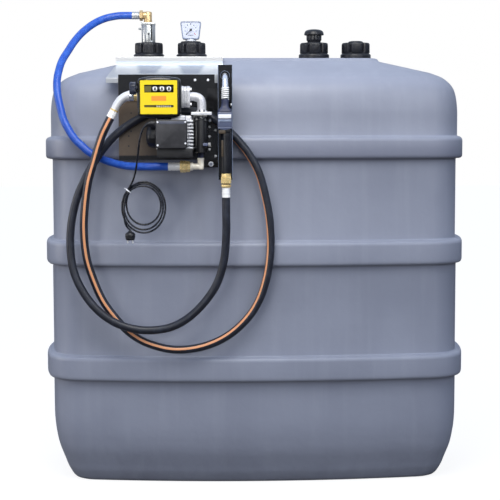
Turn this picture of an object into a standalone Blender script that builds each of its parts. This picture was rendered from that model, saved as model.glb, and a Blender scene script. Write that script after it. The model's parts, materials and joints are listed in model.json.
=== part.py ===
"""Diesel dispensing tank: a banded plastic tank with an electric pump, meter, hoses and nozzle.

Metres, +Z up. The front faces -Y. The origin is the middle of the flat base, on the ground.
"""

import math

import bmesh
import bpy
from mathutils import Vector

# Driving sizes
GAP = 0.0003
WALL_LENGTH = 1.596
WALL_DEPTH = 0.716
PLAN_CORNER = 0.125
FRONT_SWEEP = math.radians(8.4)
END_SWEEP = math.radians(14.0)
SHELL = 0.008

PAN_TOP = 0.200
PAN_TOP_PROUD = 0.002
WALL_TOP = 1.470
SHOULDER_INSET = 0.100
SHOULDER_TOP = 1.576
DECK_HALF_LENGTH = 0.484
DECK_HALF_DEPTH = 0.140
DECK_FOOT = 1.6205
DECK_TOP = 1.6355

# Foot, height and how far it stands proud, for each band
BANDS = {
    "band_lower": (0.406, 0.094, 0.0300),
    "band_middle": (0.844, 0.094, 0.0275),
    "band_upper": (1.247, 0.085, 0.0255),
}
# How far the wall swells below, between and above the bands
SWELL = (0.0055, 0.0045, 0.0, 0.0045)

NECK_RADIUS = 0.0605
NECK_BORE = 0.044
NECK_TOP = 1.6597
CAP_RADIUS = 0.0560
CAP_TOP = 1.698
CAP_PLACES = (-0.414, -0.2445, 0.2400, 0.4065)

PLATE_BACK = -0.386
PLATE_FRONT = -0.389
FLOW_Y = -0.460
NOZZLE_X = -0.117
NOZZLE_Y = -0.470
HOSE_RADIUS = 0.015
SUCTION_RADIUS = 0.0145
LEAD_RADIUS = 0.0035


def clear_scene():
    for item in list(bpy.data.objects):
        bpy.data.objects.remove(item)


def new_collection(name):
    made = bpy.data.collections.new(name)
    bpy.context.scene.collection.children.link(made)
    return made


clear_scene()
PARTS = new_collection("diesel_dispensing_tank")
CUTTERS = new_collection("cutters")


def finish(name, colour, roughness, metallic=0.0):
    made = bpy.data.materials.new(name)
    made.use_nodes = True
    shader = made.node_tree.nodes["Principled BSDF"]
    shader.inputs["Base Color"].default_value = (*colour, 1.0)
    shader.inputs["Roughness"].default_value = roughness
    shader.inputs["Metallic"].default_value = metallic
    return made


TANK_PLASTIC = finish("tank_plastic", (0.26, 0.28, 0.35), 0.42)
BLACK_PLASTIC = finish("black_plastic", (0.012, 0.013, 0.018), 0.45)
BLACK_ENAMEL = finish("black_enamel", (0.010, 0.010, 0.012), 0.25, 0.3)
ZINC = finish("zinc", (0.72, 0.74, 0.76), 0.22, 1.0)
CHROME = finish("chrome", (0.78, 0.79, 0.80), 0.12, 1.0)
BRASS = finish("brass", (0.75, 0.55, 0.25), 0.28, 1.0)
ALUMINIUM = finish("aluminium", (0.66, 0.67, 0.69), 0.38, 1.0)
YELLOW = finish("yellow_enamel", (0.90, 0.62, 0.02), 0.35)
WHITE = finish("white_plastic", (0.80, 0.82, 0.90), 0.35)
BLUE_RUBBER = finish("blue_rubber", (0.02, 0.12, 0.62), 0.35)
BLACK_RUBBER = finish("black_rubber", (0.015, 0.016, 0.020), 0.55)
GREY_ENAMEL = finish("grey_enamel", (0.16, 0.18, 0.24), 0.35)


def add(name, mesh, material=None, cutter=False, smooth=35):
    """Makes the object. A cutter is hidden from renders and drawn as wire."""
    made = bpy.data.objects.new(name, mesh)
    if cutter:
        CUTTERS.objects.link(made)
        made.hide_render = True
        made.display_type = "WIRE"
        return made
    PARTS.objects.link(made)
    mesh.materials.append(material)
    mesh.shade_smooth()
    mesh.set_sharp_from_angle(angle=math.radians(smooth))
    return made


def mesh_of(name, shape):
    bmesh.ops.recalc_face_normals(shape, faces=shape.faces)
    mesh = bpy.data.meshes.new(name)
    shape.to_mesh(mesh)
    shape.free()
    return mesh


def block(name, low, high, material=None, bevel=0.0, cutter=False):
    """A box between two corners, with rounded edges where bevel is given."""
    low, high = Vector(low), Vector(high)
    shape = bmesh.new()
    bmesh.ops.create_cube(shape, size=1.0)
    bmesh.ops.scale(shape, vec=high - low, verts=shape.verts)
    bmesh.ops.translate(shape, vec=(low + high) / 2, verts=shape.verts)
    made = add(name, mesh_of(name, shape), material, cutter)
    if bevel:
        rounding = made.modifiers.new("rounding", "BEVEL")
        rounding.width = bevel
        rounding.segments = 2
    return made


def rod(name, start, end, radius, material=None, sides=24, end_radius=None, cutter=False):
    """A cylinder or cone between two points."""
    start, end = Vector(start), Vector(end)
    run = end - start
    shape = bmesh.new()
    bmesh.ops.create_cone(
        shape,
        cap_ends=True,
        segments=sides,
        radius1=radius,
        radius2=radius if end_radius is None else end_radius,
        depth=run.length,
    )
    made = add(name, mesh_of(name, shape), material, cutter)
    made.location = (start + end) / 2
    made.rotation_mode = "QUATERNION"
    made.rotation_quaternion = run.to_track_quat("Z", "Y")
    return made


def loft(name, rings, material=None, closed=False, cutter=False, smooth=35):
    """Skins rings of equal counts. The ends are capped, or joined to each other where closed."""
    shape = bmesh.new()
    loops = [[shape.verts.new(point) for point in ring] for ring in rings]
    pairs = list(zip(loops, loops[1:]))
    if closed:
        pairs.append((loops[-1], loops[0]))
    else:
        shape.faces.new(loops[0])
        shape.faces.new(loops[-1])
    count = len(loops[0])
    for lower, upper in pairs:
        for i in range(count):
            j = (i + 1) % count
            shape.faces.new((lower[i], lower[j], upper[j], upper[i]))
    return add(name, mesh_of(name, shape), material, cutter, smooth)


def combine(made, others, operation):
    for other in others:
        change = made.modifiers.new(other.name, "BOOLEAN")
        change.operation = operation
        change.object = other
        change.solver = "EXACT"
    return made


def circle(radius, centre, axis="Z", sides=32):
    """Points round a circle whose axis is X, Y or Z."""
    points = []
    for step in range(sides):
        turn = 2 * math.pi * step / sides
        across, up = radius * math.cos(turn), radius * math.sin(turn)
        offset = {"X": (0, across, up), "Y": (across, 0, up), "Z": (across, up, 0)}[axis]
        points.append(Vector(centre) + Vector(offset))
    return points


def turned(name, profile, centre, axis, material, sides=32, closed=False):
    """Circles of (radius, distance along the axis) skinned into one solid."""
    direction = Vector({"X": (1, 0, 0), "Y": (0, 1, 0), "Z": (0, 0, 1)}[axis])
    rings = [circle(radius, Vector(centre) + direction * along, axis, sides) for radius, along in profile]
    return loft(name, rings, material, closed)


def smooth_route(points, spacing):
    """Points at even spacing on a Catmull-Rom curve through the given ones."""
    route = [Vector(point) for point in points]
    padded = [2 * route[0] - route[1], *route, 2 * route[-1] - route[-2]]
    fine = []
    for before, here, after, later in zip(padded, padded[1:], padded[2:], padded[3:]):
        for step in range(24):
            t = step / 24
            fine.append(
                0.5
                * (
                    2 * here
                    + (after - before) * t
                    + (2 * before - 5 * here + 4 * after - later) * t * t
                    + (3 * here - before - 3 * after + later) * t * t * t
                )
            )
    fine.append(route[-1])
    travelled = [0.0]
    for here, after in zip(fine, fine[1:]):
        travelled.append(travelled[-1] + (after - here).length)
    count = max(2, round(travelled[-1] / spacing))
    even, at = [], 0
    for step in range(count + 1):
        wanted = travelled[-1] * step / count
        while at < len(fine) - 2 and travelled[at + 1] < wanted:
            at += 1
        share = (wanted - travelled[at]) / (travelled[at + 1] - travelled[at])
        even.append(fine[at].lerp(fine[at + 1], share))
    nib = spacing / 6
    leaving = (route[1] - route[0]).normalized()
    arriving = (route[-1] - route[-2]).normalized()
    return [route[0], route[0] + leaving * nib, *even[1:-1], route[-1] - arriving * nib, route[-1]]


def tube(name, points, radius, material, resolution=2, taper=None):
    """A round tube along the points, with filled ends. taper gives each point's share of the radius."""
    curve = bpy.data.curves.new(name, "CURVE")
    curve.dimensions = "3D"
    curve.bevel_depth = radius
    curve.bevel_resolution = resolution
    curve.use_fill_caps = True
    spline = curve.splines.new("POLY")
    spline.points.add(len(points) - 1)
    for index, point in enumerate(points):
        spline.points[index].co = (*point, 1.0)
        spline.points[index].radius = taper[index] if taper else 1.0
    curve.materials.append(material)
    made = bpy.data.objects.new(name, curve)
    PARTS.objects.link(made)
    return made


def hide_as_cutter(made):
    PARTS.objects.unlink(made)
    CUTTERS.objects.link(made)
    made.hide_render = True
    made.display_type = "WIRE"


def curve_to_cutter(made):
    """Turns a capped curve into a welded mesh that a Boolean can join, and removes the curve."""
    graph = bpy.context.evaluated_depsgraph_get()
    mesh = bpy.data.meshes.new_from_object(made.evaluated_get(graph))
    shape = bmesh.new()
    shape.from_mesh(mesh)
    bmesh.ops.remove_doubles(shape, verts=shape.verts, dist=0.00001)
    bmesh.ops.recalc_face_normals(shape, faces=shape.faces)
    shape.to_mesh(mesh)
    shape.free()
    solid = add(made.name + "_form", mesh, cutter=True)
    solid.matrix_world = made.matrix_world
    bpy.data.objects.remove(made)
    return solid


def plan(half_length, half_depth, corner, front_sweep=FRONT_SWEEP, end_sweep=END_SWEEP):
    """Outline of the tank seen from above: bulged sides and ends that run smoothly into round corners."""
    lean = math.tan(end_sweep / 2)
    reach = (half_length - corner - lean * (half_depth - corner)) / (
        math.sin(front_sweep) - lean * (1 - math.cos(front_sweep))
    )
    front_radius = reach + corner
    corner_x = reach * math.sin(front_sweep)
    corner_y = corner - half_depth + reach * (1 - math.cos(front_sweep))
    end_radius = corner - corner_y / math.sin(end_sweep)
    quarter = []
    for step in range(4):
        turn = front_sweep * step / 4
        quarter.append((front_radius * math.sin(turn), front_radius * (1 - math.cos(turn)) - half_depth))
    for step in range(5):
        turn = front_sweep + (math.pi / 2 - end_sweep - front_sweep) * step / 5
        quarter.append((corner_x + corner * math.sin(turn), corner_y - corner * math.cos(turn)))
    for step in range(2):
        turn = end_sweep * (1 - step / 2)
        quarter.append((half_length - end_radius * (1 - math.cos(turn)), -end_radius * math.sin(turn)))
    end_point = [(half_length, 0.0)]
    right = quarter + end_point + [(x, -y) for x, y in reversed(quarter)]
    return right + [(-x, y) for x, y in reversed(right[1:-1])]


def tank_ring(inset, height):
    """The tank's outline drawn in by inset, and out where it is negative."""
    corner = PLAN_CORNER - inset * (1.0 if inset < 0 else 0.4)
    outline = plan(WALL_LENGTH / 2 - inset, WALL_DEPTH / 2 - inset, corner)
    return [(x, y, height) for x, y in outline]


def deck_ring(margin, height):
    """The raised deck's outline, which is flatter than the tank's."""
    outline = plan(
        DECK_HALF_LENGTH + margin,
        DECK_HALF_DEPTH + margin,
        0.040,
        math.radians(1.5),
        math.radians(2.5),
    )
    return [(x, y, height) for x, y in outline]


def floor_pan():
    """The tank's dished foot. It stands on the flat inside its rounded edge."""
    outer = (
        (-PAN_TOP_PROUD, PAN_TOP),
        (0.0035, 0.160),
        (0.0135, 0.120),
        (0.0285, 0.080),
        (0.041, 0.045),
        (0.058, 0.014),
        (0.077, 0.0),
    )
    inner = (
        (0.083, SHELL),
        (0.066, 0.020),
        (0.050, 0.050),
        (0.037, 0.084),
        (0.022, 0.123),
        (0.012, 0.162),
        (SHELL - PAN_TOP_PROUD, PAN_TOP),
    )
    rings = [tank_ring(inset, height) for inset, height in inner + outer]
    loft("tank_floor_pan", rings, TANK_PLASTIC)


def wall():
    """The sleeve between the foot and the shoulder, swollen a little between its bands."""
    outer = [(-PAN_TOP_PROUD, PAN_TOP + GAP), (-SWELL[0], 0.245)]
    for (foot, height, _), below, above in zip(BANDS.values(), SWELL, SWELL[1:]):
        outer += [(-below, foot), (-above, foot + height)]
    outer += [(-SWELL[-1], 1.425), (0.0, WALL_TOP - GAP)]
    inner = [(SHELL, WALL_TOP - GAP), (SHELL - PAN_TOP_PROUD, PAN_TOP + GAP)]
    rings = [tank_ring(inset, height) for inset, height in outer + inner]
    loft("tank_wall", rings, TANK_PLASTIC, closed=True)


def roof():
    """Rounded shoulder, sloping roof and raised deck, with the four threaded necks moulded on."""
    shoulder = (
        (0.0, WALL_TOP, 0.0),
        (0.004, 1.493, 0.2),
        (0.012, 1.514, 0.3),
        (0.027, 1.535, 0.5),
        (0.055, 1.557, 0.8),
        (SHOULDER_INSET, SHOULDER_TOP, 1.0),
    )
    outer = [tank_ring(inset, height) for inset, height, _ in shoulder]
    outer += [deck_ring(0.008, DECK_FOOT), deck_ring(0.0, DECK_TOP - 0.004), deck_ring(-0.004, DECK_TOP)]
    inner = [tank_ring(inset + SHELL, height - SHELL * lift) for inset, height, lift in shoulder]
    inner += [deck_ring(-0.002, DECK_FOOT - SHELL), deck_ring(-0.010, DECK_TOP - SHELL)]
    made = loft("tank_roof", inner[::-1] + outer, TANK_PLASTIC)
    collars, bores = [], []
    for number, x in enumerate(CAP_PLACES, 1):
        foot = (x, 0, DECK_TOP - SHELL / 2)
        collars.append(rod(f"neck_collar_{number}", foot, (x, 0, NECK_TOP), NECK_RADIUS, cutter=True))
        bores.append(rod(f"neck_bore_{number}", (x, 0, 1.60), (x, 0, 1.70), NECK_BORE, sides=20, cutter=True))
    combine(made, collars, "UNION")
    combine(made, bores, "DIFFERENCE")


def bands():
    """Hollow-moulded bands round the wall, with rolled edges above and below a flat face."""
    for (name, (foot, height, proud)), below, above in zip(BANDS.items(), SWELL, SWELL[1:]):
        section = (
            (below + GAP, 0.0),
            (proud - 0.010, 0.0),
            (proud - 0.002, 0.005),
            (proud, 0.014),
            (proud, height - 0.014),
            (proud - 0.004, height - 0.004),
            (proud - 0.012, height),
            (above + GAP, height),
        )
        rings = [tank_ring(-out, foot + up) for out, up in section]
        loft(name, rings, TANK_PLASTIC, closed=True)


def ribbed(radius, depth, ribs, centre, height, sides=60):
    """Points round a cap whose side waves in and out."""
    points = []
    for step in range(sides):
        turn = 2 * math.pi * step / sides
        reach = radius - depth * (1 - math.cos(ribs * turn)) / 2
        points.append((centre + reach * math.cos(turn), reach * math.sin(turn), height))
    return points


def caps():
    """Two ribbed caps on the left, that carry the riser and the gauge, and two lobed caps on the right."""
    for number, x in enumerate(CAP_PLACES, 1):
        lobed = number > 2
        depth, ribs = (0.006, 10) if lobed else (0.003, 15)
        plug = NECK_BORE - 0.0010
        levels = (
            (plug, 0.0, NECK_TOP - 0.016),
            (plug, 0.0, NECK_TOP + GAP),
            (CAP_RADIUS, depth, NECK_TOP + GAP),
            (CAP_RADIUS, depth, CAP_TOP - 0.007),
            (CAP_RADIUS - 0.004, depth, CAP_TOP - 0.002),
            (CAP_RADIUS - 0.012, 0.0, CAP_TOP),
        )
        rings = [ribbed(radius, wave, ribs, x, height) for radius, wave, height in levels]
        loft(f"cap_{number}", rings, BLACK_PLASTIC)
    top = CAP_TOP + GAP
    profile = ((0.0255, top), (0.0255, top + 0.007), (0.022, top + 0.0095))
    turned("cap_button", profile, (CAP_PLACES[3], 0, 0), "Z", BLACK_PLASTIC, 24)
    vent = (
        (0.030, top),
        (0.030, 1.7275),
        (0.0385, 1.7310),
        (0.0390, 1.7430),
        (0.0300, 1.7510),
        (0.0120, 1.7545),
    )
    turned("vent", vent, (CAP_PLACES[2], 0, 0), "Z", BLACK_PLASTIC, 32)


RISER_X = -0.418
RISER_TOP = 1.780
TOP_ELBOW_Z = 1.8095
TOP_COLLAR_X = -0.4520
TOP_FERRULE_X = -0.4825
ELBOW_KNUCKLE = 0.019


def riser():
    """Galvanised sleeve and pipe on the left cap, with the brass elbow that the blue hose runs from."""
    top = CAP_TOP + GAP
    section = ((0.0272, top), (0.0272, RISER_TOP - 0.002), (0.0242, RISER_TOP - 0.002), (0.0242, top))
    sleeve = turned("riser_sleeve", section, (RISER_X, 0, 0), "Z", ZINC, 32, closed=True)
    slot_low = (RISER_X + 0.010, -0.040, top + 0.012)
    slot_high = (RISER_X + 0.016, -0.010, RISER_TOP + 0.010)
    slot = block("riser_slot", slot_low, slot_high, cutter=True)
    combine(sleeve, [slot], "DIFFERENCE")
    rod("riser_pipe", (RISER_X, 0, top), (RISER_X, 0, RISER_TOP), 0.0165, ZINC)
    elbow = rod("riser_elbow", (RISER_X, 0, RISER_TOP + GAP), (RISER_X, 0, TOP_ELBOW_Z), 0.0180, BRASS)
    corner = (RISER_X, 0, TOP_ELBOW_Z)
    turns = (0.2, 0.7, 1.2, math.pi / 2, 1.94, 2.44, 2.94)
    knuckle = [(ELBOW_KNUCKLE * math.sin(turn), -ELBOW_KNUCKLE * math.cos(turn)) for turn in turns]
    ball = turned("riser_elbow_ball", knuckle, corner, "Z", BRASS, 24)
    arm = rod("riser_elbow_arm", corner, (TOP_COLLAR_X + 0.004, 0, TOP_ELBOW_Z), 0.0175, cutter=True)
    collar_start = (TOP_COLLAR_X + 0.008, 0, TOP_ELBOW_Z)
    collar_end = (TOP_COLLAR_X, 0, TOP_ELBOW_Z)
    collar = rod("riser_elbow_collar", collar_start, collar_end, 0.0210, sides=6, cutter=True)
    hide_as_cutter(ball)
    combine(elbow, [ball, arm, collar], "UNION")
    rod("riser_ferrule", (TOP_COLLAR_X - GAP, 0, TOP_ELBOW_Z), (TOP_FERRULE_X, 0, TOP_ELBOW_Z), 0.0125, ZINC)


GAUGE_X = -0.2500
GAUGE_FACE_Y = -0.020
GAUGE_HUB_Z = 1.752
GAUGE_OUTLINE = (
    (-0.0410, 1.7770),
    (-0.0395, 1.7835),
    (-0.0330, 1.7855),
    (0.0330, 1.7855),
    (0.0395, 1.7835),
    (0.0410, 1.7770),
    (0.0335, 1.7200),
    (0.0290, 1.7150),
    (-0.0290, 1.7150),
    (-0.0335, 1.7200),
)
NEEDLE_REACH = 0.0165


def pivot_at(name, place):
    """An empty on a joint's axis, that carries the piece that turns."""
    made = bpy.data.objects.new(name, None)
    made.location = place
    PARTS.objects.link(made)
    return made


def gauge():
    """Contents gauge: a tapered case on a short neck, with a needle on a pin through its dial."""
    neck = rod("gauge_neck", (GAUGE_X, 0, CAP_TOP + GAP), (GAUGE_X, 0, 1.716), 0.020, cutter=True)
    rings = [[(GAUGE_X + x, y, z) for x, z in GAUGE_OUTLINE] for y in (0.018, GAUGE_FACE_Y)]
    case = loft("gauge_case", rings, WHITE)
    pin_end = (GAUGE_X, GAUGE_FACE_Y - 0.002, GAUGE_HUB_Z)
    pin = rod("gauge_pin", (GAUGE_X, 0, GAUGE_HUB_Z), pin_end, 0.002, sides=12, cutter=True)
    combine(case, [neck, pin], "UNION")
    hub = rod("gauge_needle", (0, -0.0023, 0), (0, -0.0040, 0), 0.0045, BLACK_ENAMEL, sides=16)
    tip = (-NEEDLE_REACH, -0.0032, -NEEDLE_REACH)
    hand = rod("needle_hand", (0, -0.0032, 0), tip, 0.0008, sides=8, end_radius=0.0004, cutter=True)
    pivot = pivot_at("gauge_pivot", (GAUGE_X, GAUGE_FACE_Y, GAUGE_HUB_Z))
    hub.parent = pivot
    hand.parent = pivot
    combine(hub, [hand], "UNION")


BRACKET_LEFT, BRACKET_RIGHT = -0.536, -0.1215
LIP_LEFT, LIP_RIGHT = -0.5584, -0.1410
STRIP_Y = -0.182
LIP_Y = -0.3845
SHEET = 0.002


def bracket():
    """Bent zinc sheet: clamped round two necks, down over the deck's edge, out and down to the plate."""
    fold = (
        (0.078, DECK_TOP + GAP + SHEET / 2, BRACKET_LEFT, BRACKET_RIGHT),
        (STRIP_Y, DECK_TOP + GAP + SHEET / 2, BRACKET_LEFT, BRACKET_RIGHT),
        (STRIP_Y, 1.6085, BRACKET_LEFT, BRACKET_RIGHT),
        (LIP_Y, 1.5475, LIP_LEFT, LIP_RIGHT),
        (LIP_Y, 1.5290, LIP_LEFT, LIP_RIGHT),
    )
    shape = bmesh.new()
    rows = [(shape.verts.new((left, y, z)), shape.verts.new((right, y, z))) for y, z, left, right in fold]
    for (a, b), (c, d) in zip(rows, rows[1:]):
        shape.faces.new((a, b, d, c))
    made = add("bracket", mesh_of("bracket", shape), ZINC)
    skin = made.modifiers.new("sheet", "SOLIDIFY")
    skin.thickness = SHEET
    skin.offset = 0.0
    skin.use_even_offset = True
    holes = [
        rod(f"bracket_hole_{i}", (x, 0, 1.60), (x, 0, 1.66), NECK_RADIUS + 0.001, cutter=True)
        for i, x in enumerate(CAP_PLACES[:2])
    ]
    combine(made, holes, "DIFFERENCE")


PLATE_LEFT, PLATE_RIGHT = -0.513, -0.146
PLATE_TOP, PLATE_FOOT = 1.5602, 1.2455
STRIP_LEFT, STRIP_FOOT = -0.2017, 1.2168
PLATE_HOLES = (
    (-0.2296, 1.5398),
    (-0.1816, 1.5398),
    (-0.1768, 1.3888),
    (-0.1768, 1.3667),
    (-0.1768, 1.3316),
    (-0.1768, 1.3001),
    (-0.1768, 1.2840),
    (-0.1545, 1.3555),
    (-0.1545, 1.2593),
)


def pump_plate():
    """Black steel plate with a longer, drilled strip down its right side."""
    outline = (
        (PLATE_LEFT, PLATE_TOP),
        (PLATE_LEFT, PLATE_FOOT),
        (STRIP_LEFT, PLATE_FOOT),
        (STRIP_LEFT, STRIP_FOOT),
        (PLATE_RIGHT, STRIP_FOOT),
        (PLATE_RIGHT, PLATE_TOP),
    )
    rings = [[(x, y, z) for x, z in outline] for y in (PLATE_BACK, PLATE_FRONT)]
    made = loft("pump_plate", rings, BLACK_ENAMEL)
    holes = []
    for i, (x, z) in enumerate(PLATE_HOLES):
        behind = (x, PLATE_BACK + 0.01, z)
        holes.append(rod(f"plate_hole_{i}", behind, (x, PLATE_FRONT - 0.01, z), 0.004, sides=12, cutter=True))
    combine(made, holes, "DIFFERENCE")


MOTOR_LEFT, MOTOR_RIGHT = -0.3705, -0.2370
MOTOR_FOOT, MOTOR_TOP = 1.2810, 1.4095
MOTOR_BACK, MOTOR_FRONT = PLATE_FRONT - GAP, -0.4985
BOX_LEFT, BOX_RIGHT = -0.3677, -0.2576
BOX_FOOT, BOX_TOP = 1.2908, 1.3909
BOX_FRONT = -0.572
LID_DEPTH = 0.012
LID_LAP = 0.0013
LEAD_Y, LEAD_TOP = -0.548, 1.3765
FIN_PITCH = 0.0135


def motor():
    """Finned aluminium motor on the plate, with its terminal box in front."""
    low = (MOTOR_LEFT, MOTOR_FRONT, MOTOR_FOOT)
    high = (MOTOR_RIGHT - GAP, MOTOR_BACK, MOTOR_TOP)
    made = block("motor_body", low, high, ALUMINIUM, bevel=0.010)
    grooves = []
    for number in range(8):
        foot = MOTOR_FOOT + 0.014 + FIN_PITCH * number
        groove_low = (-0.2600, MOTOR_FRONT - 0.01, foot)
        groove_high = (MOTOR_RIGHT + 0.01, MOTOR_FRONT + 0.012, foot + 0.0065)
        grooves.append(block(f"fin_groove_{number}", groove_low, groove_high, cutter=True))
    combine(made, grooves, "DIFFERENCE")
    box_low = (BOX_LEFT, BOX_FRONT + LID_DEPTH, BOX_FOOT)
    block("terminal_box", box_low, (BOX_RIGHT, MOTOR_FRONT - GAP, BOX_TOP), BLACK_PLASTIC, bevel=0.004)
    lid_low = (BOX_LEFT - LID_LAP, BOX_FRONT, BOX_FOOT - LID_LAP)
    lid_high = (BOX_RIGHT + LID_LAP, BOX_FRONT + LID_DEPTH - GAP, BOX_TOP + LID_LAP)
    block("terminal_lid", lid_low, lid_high, BLACK_PLASTIC, bevel=0.005)
    gland = ((0.0100, 0.0), (0.0100, -0.008), (0.0080, -0.008), (0.0065, -0.0215))
    turned("cable_gland", gland, (BOX_LEFT - GAP, LEAD_Y, LEAD_TOP), "X", BLACK_PLASTIC, 16)


HEAD_LEFT, HEAD_RIGHT = MOTOR_RIGHT, -0.1837
HEAD_BACK, HEAD_FRONT = -0.4255, -0.5150
HEAD_FOOT = 1.2716
PUMP_X = -0.2095
FLANGE_FOOT, FLANGE_TOP = 1.4098, 1.4207
FLOW_Z = 1.4765
METER_LEFT, METER_RIGHT = -0.4357, -0.2780
PIPE_FRONT, PIPE_BACK = -0.4900, -0.4300


SUCTION_Z = 1.2222
NIPPLE_FOOT = 1.2540


def pump_head():
    """Black pump body right of the motor, with the pipework above and below it."""
    head_low = (HEAD_LEFT, HEAD_FRONT, HEAD_FOOT)
    head_high = (HEAD_RIGHT, HEAD_BACK, FLANGE_FOOT - GAP)
    block("pump_head", head_low, head_high, BLACK_ENAMEL, bevel=0.014)
    flange_low = (-0.2439, PIPE_FRONT, FLANGE_FOOT)
    flange = block("transfer_flange", flange_low, (-0.1674, PIPE_BACK, FLANGE_TOP), ALUMINIUM, bevel=0.003)
    bend = (
        (-0.2467, FLOW_Z),
        (-0.2330, FLOW_Z),
        (-0.2200, 1.4725),
        (-0.2110, 1.4630),
        (PUMP_X + 0.0005, 1.4500),
        (PUMP_X, FLANGE_TOP - 0.004),
    )
    pipe = curve_to_cutter(tube("transfer_pipe", [(x, FLOW_Y, z) for x, z in bend], 0.0165, ALUMINIUM, 4))
    combine(flange, [pipe], "UNION")
    inlet_low = (METER_RIGHT + GAP, PIPE_FRONT, 1.4360)
    block("inlet_flange", inlet_low, (-0.2470, PIPE_BACK, 1.5150), ALUMINIUM, bevel=0.006)
    nipple_end = (PUMP_X, FLOW_Y, NIPPLE_FOOT)
    rod("suction_nipple", (PUMP_X, FLOW_Y, HEAD_FOOT - GAP), nipple_end, 0.0115, BLACK_ENAMEL, sides=20)
    elbow_top = (PUMP_X, FLOW_Y, NIPPLE_FOOT - GAP)
    elbow = rod("suction_elbow", elbow_top, (PUMP_X, FLOW_Y, 1.2200), 0.0125, BRASS, sides=20)
    arm_start = (PUMP_X + 0.0115, FLOW_Y, SUCTION_Z)
    arm = rod("suction_arm", arm_start, (-0.2485, FLOW_Y, SUCTION_Z), 0.0115, sides=20, cutter=True)
    combine(elbow, [arm], "UNION")
    rod("suction_nut", (-0.2488, FLOW_Y, SUCTION_Z), (-0.2850, FLOW_Y, SUCTION_Z), 0.0220, BRASS, sides=6)
    rod("suction_ferrule", (-0.2853, FLOW_Y, SUCTION_Z), (-0.3287, FLOW_Y, SUCTION_Z), 0.0140, ZINC)
    clip_high = (-0.1825, HEAD_FRONT - GAP, 1.3080)
    block("filter_clip", (-0.2007, -0.5250, 1.2971), clip_high, GREY_ENAMEL, bevel=0.002)


FRAME_CENTRE = (METER_LEFT + METER_RIGHT) / 2
FRAME_MIDDLE = 1.4733
FRAME_HALF_WIDTH = (METER_RIGHT - METER_LEFT) / 2
FRAME_HALF_HEIGHT = 0.0752
FRAME_BACK = -0.500
METER_FRONT = -0.541
POCKET_BACK = -0.513
WINDOW = ((-0.4115, 1.4885), (-0.3035, 1.5170))
TOTAL_WINDOW = ((-0.4115, 1.4358), (-0.3035, 1.4470))
KNOB_Y, KNOB_Z = -0.515, 1.505


def meter_outline(half_width, half_height, corner):
    """Points of the meter's outline, with its top and bottom arched."""
    outline = plan(half_width, half_height, corner, math.radians(11), math.radians(2))
    return [(FRAME_CENTRE + x, FRAME_MIDDLE + z) for x, z in outline]


def meter():
    """Mechanical meter: cast body, black front with a yellow face, number wheels and a reset knob."""
    body_low = (-0.4130, FRAME_BACK + GAP, 1.4180)
    body = block("meter_body", body_low, (-0.2950, -0.4208, 1.5300), BLACK_ENAMEL, bevel=0.012)
    boss_end = (METER_RIGHT, FLOW_Y, FLOW_Z)
    bosses = rod("meter_bosses", (METER_LEFT, FLOW_Y, FLOW_Z), boss_end, 0.0240, cutter=True)
    combine(body, [bosses], "UNION")
    levels = (
        (FRAME_HALF_WIDTH - 0.003, FRAME_HALF_HEIGHT - 0.003, FRAME_BACK),
        (FRAME_HALF_WIDTH, FRAME_HALF_HEIGHT, FRAME_BACK - 0.004),
        (FRAME_HALF_WIDTH, FRAME_HALF_HEIGHT, METER_FRONT + 0.004),
        (FRAME_HALF_WIDTH - 0.003, FRAME_HALF_HEIGHT - 0.003, METER_FRONT),
    )
    rings = [[(x, y, z) for x, z in meter_outline(width, height, 0.018)] for width, height, y in levels]
    frame = loft("meter_frame", rings, BLACK_ENAMEL)
    (left, foot), (right, head) = WINDOW
    pocket_high = (right, POCKET_BACK, head + 0.001)
    pocket = block("wheel_pocket", (left, METER_FRONT - 0.01, foot - 0.001), pocket_high, cutter=True)
    combine(frame, [pocket], "DIFFERENCE")
    face_levels = (METER_FRONT - GAP, METER_FRONT - 0.003)
    face_rings = [[(x, y, z) for x, z in meter_outline(0.0690, 0.0625, 0.006)] for y in face_levels]
    face = loft("meter_face", face_rings, YELLOW)
    windows = []
    for number, ((left, foot), (right, head)) in enumerate((WINDOW, TOTAL_WINDOW)):
        window_low = (left, METER_FRONT - 0.01, foot)
        window_high = (right, METER_FRONT + 0.01, head)
        windows.append(block(f"face_window_{number}", window_low, window_high, cutter=True))
    combine(face, windows, "DIFFERENCE")
    profile = (
        (0.0080, -0.0003),
        (0.0080, -0.0043),
        (0.0215, -0.0048),
        (0.0233, -0.0070),
        (0.0233, -0.0250),
        (0.0205, -0.0285),
    )
    knob = turned("reset_knob", profile, (0, 0, 0), "X", BLACK_PLASTIC, 24)
    knob.parent = pivot_at("knob_pivot", (METER_LEFT, KNOB_Y, KNOB_Z))


def number_wheels():
    """Three number wheels and a blank drum on one shaft, seated in the pocket's side walls."""
    left, right = WINDOW[0][0] + GAP, WINDOW[1][0] - GAP
    wheel_centres = (-0.3716, -0.3465, -0.3214)
    half = 0.0112
    profile = [(0.004, left), (0.004, left + 0.004)]
    profile += [(0.0110, left + 0.004), (0.0110, wheel_centres[0] - half - 0.003)]
    for centre in wheel_centres:
        profile += [(0.0060, centre - half - 0.0020), (0.0060, centre - half)]
        profile += [(0.0118, centre - half), (0.0118, centre + half)]
    profile += [(0.004, wheel_centres[2] + half + 0.001), (0.004, right)]
    middle = (WINDOW[0][1] + WINDOW[1][1]) / 2
    turned("number_wheels", profile, (0, -0.5270, middle), "X", BLACK_ENAMEL, 16)


OUTLET_BEND = (
    (METER_LEFT - GAP, FLOW_Z),
    (-0.4520, FLOW_Z),
    (-0.4700, 1.4765),
    (-0.4870, 1.4715),
    (-0.5020, 1.4610),
    (-0.5145, 1.4460),
    (-0.5225, 1.4305),
)
OUTLET_TAPER = (1.0, 1.0, 0.95, 0.88, 0.80, 0.74, 0.72)
FERRULE_AIM = Vector((-0.455, 0.0, -0.890)).normalized()


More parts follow.
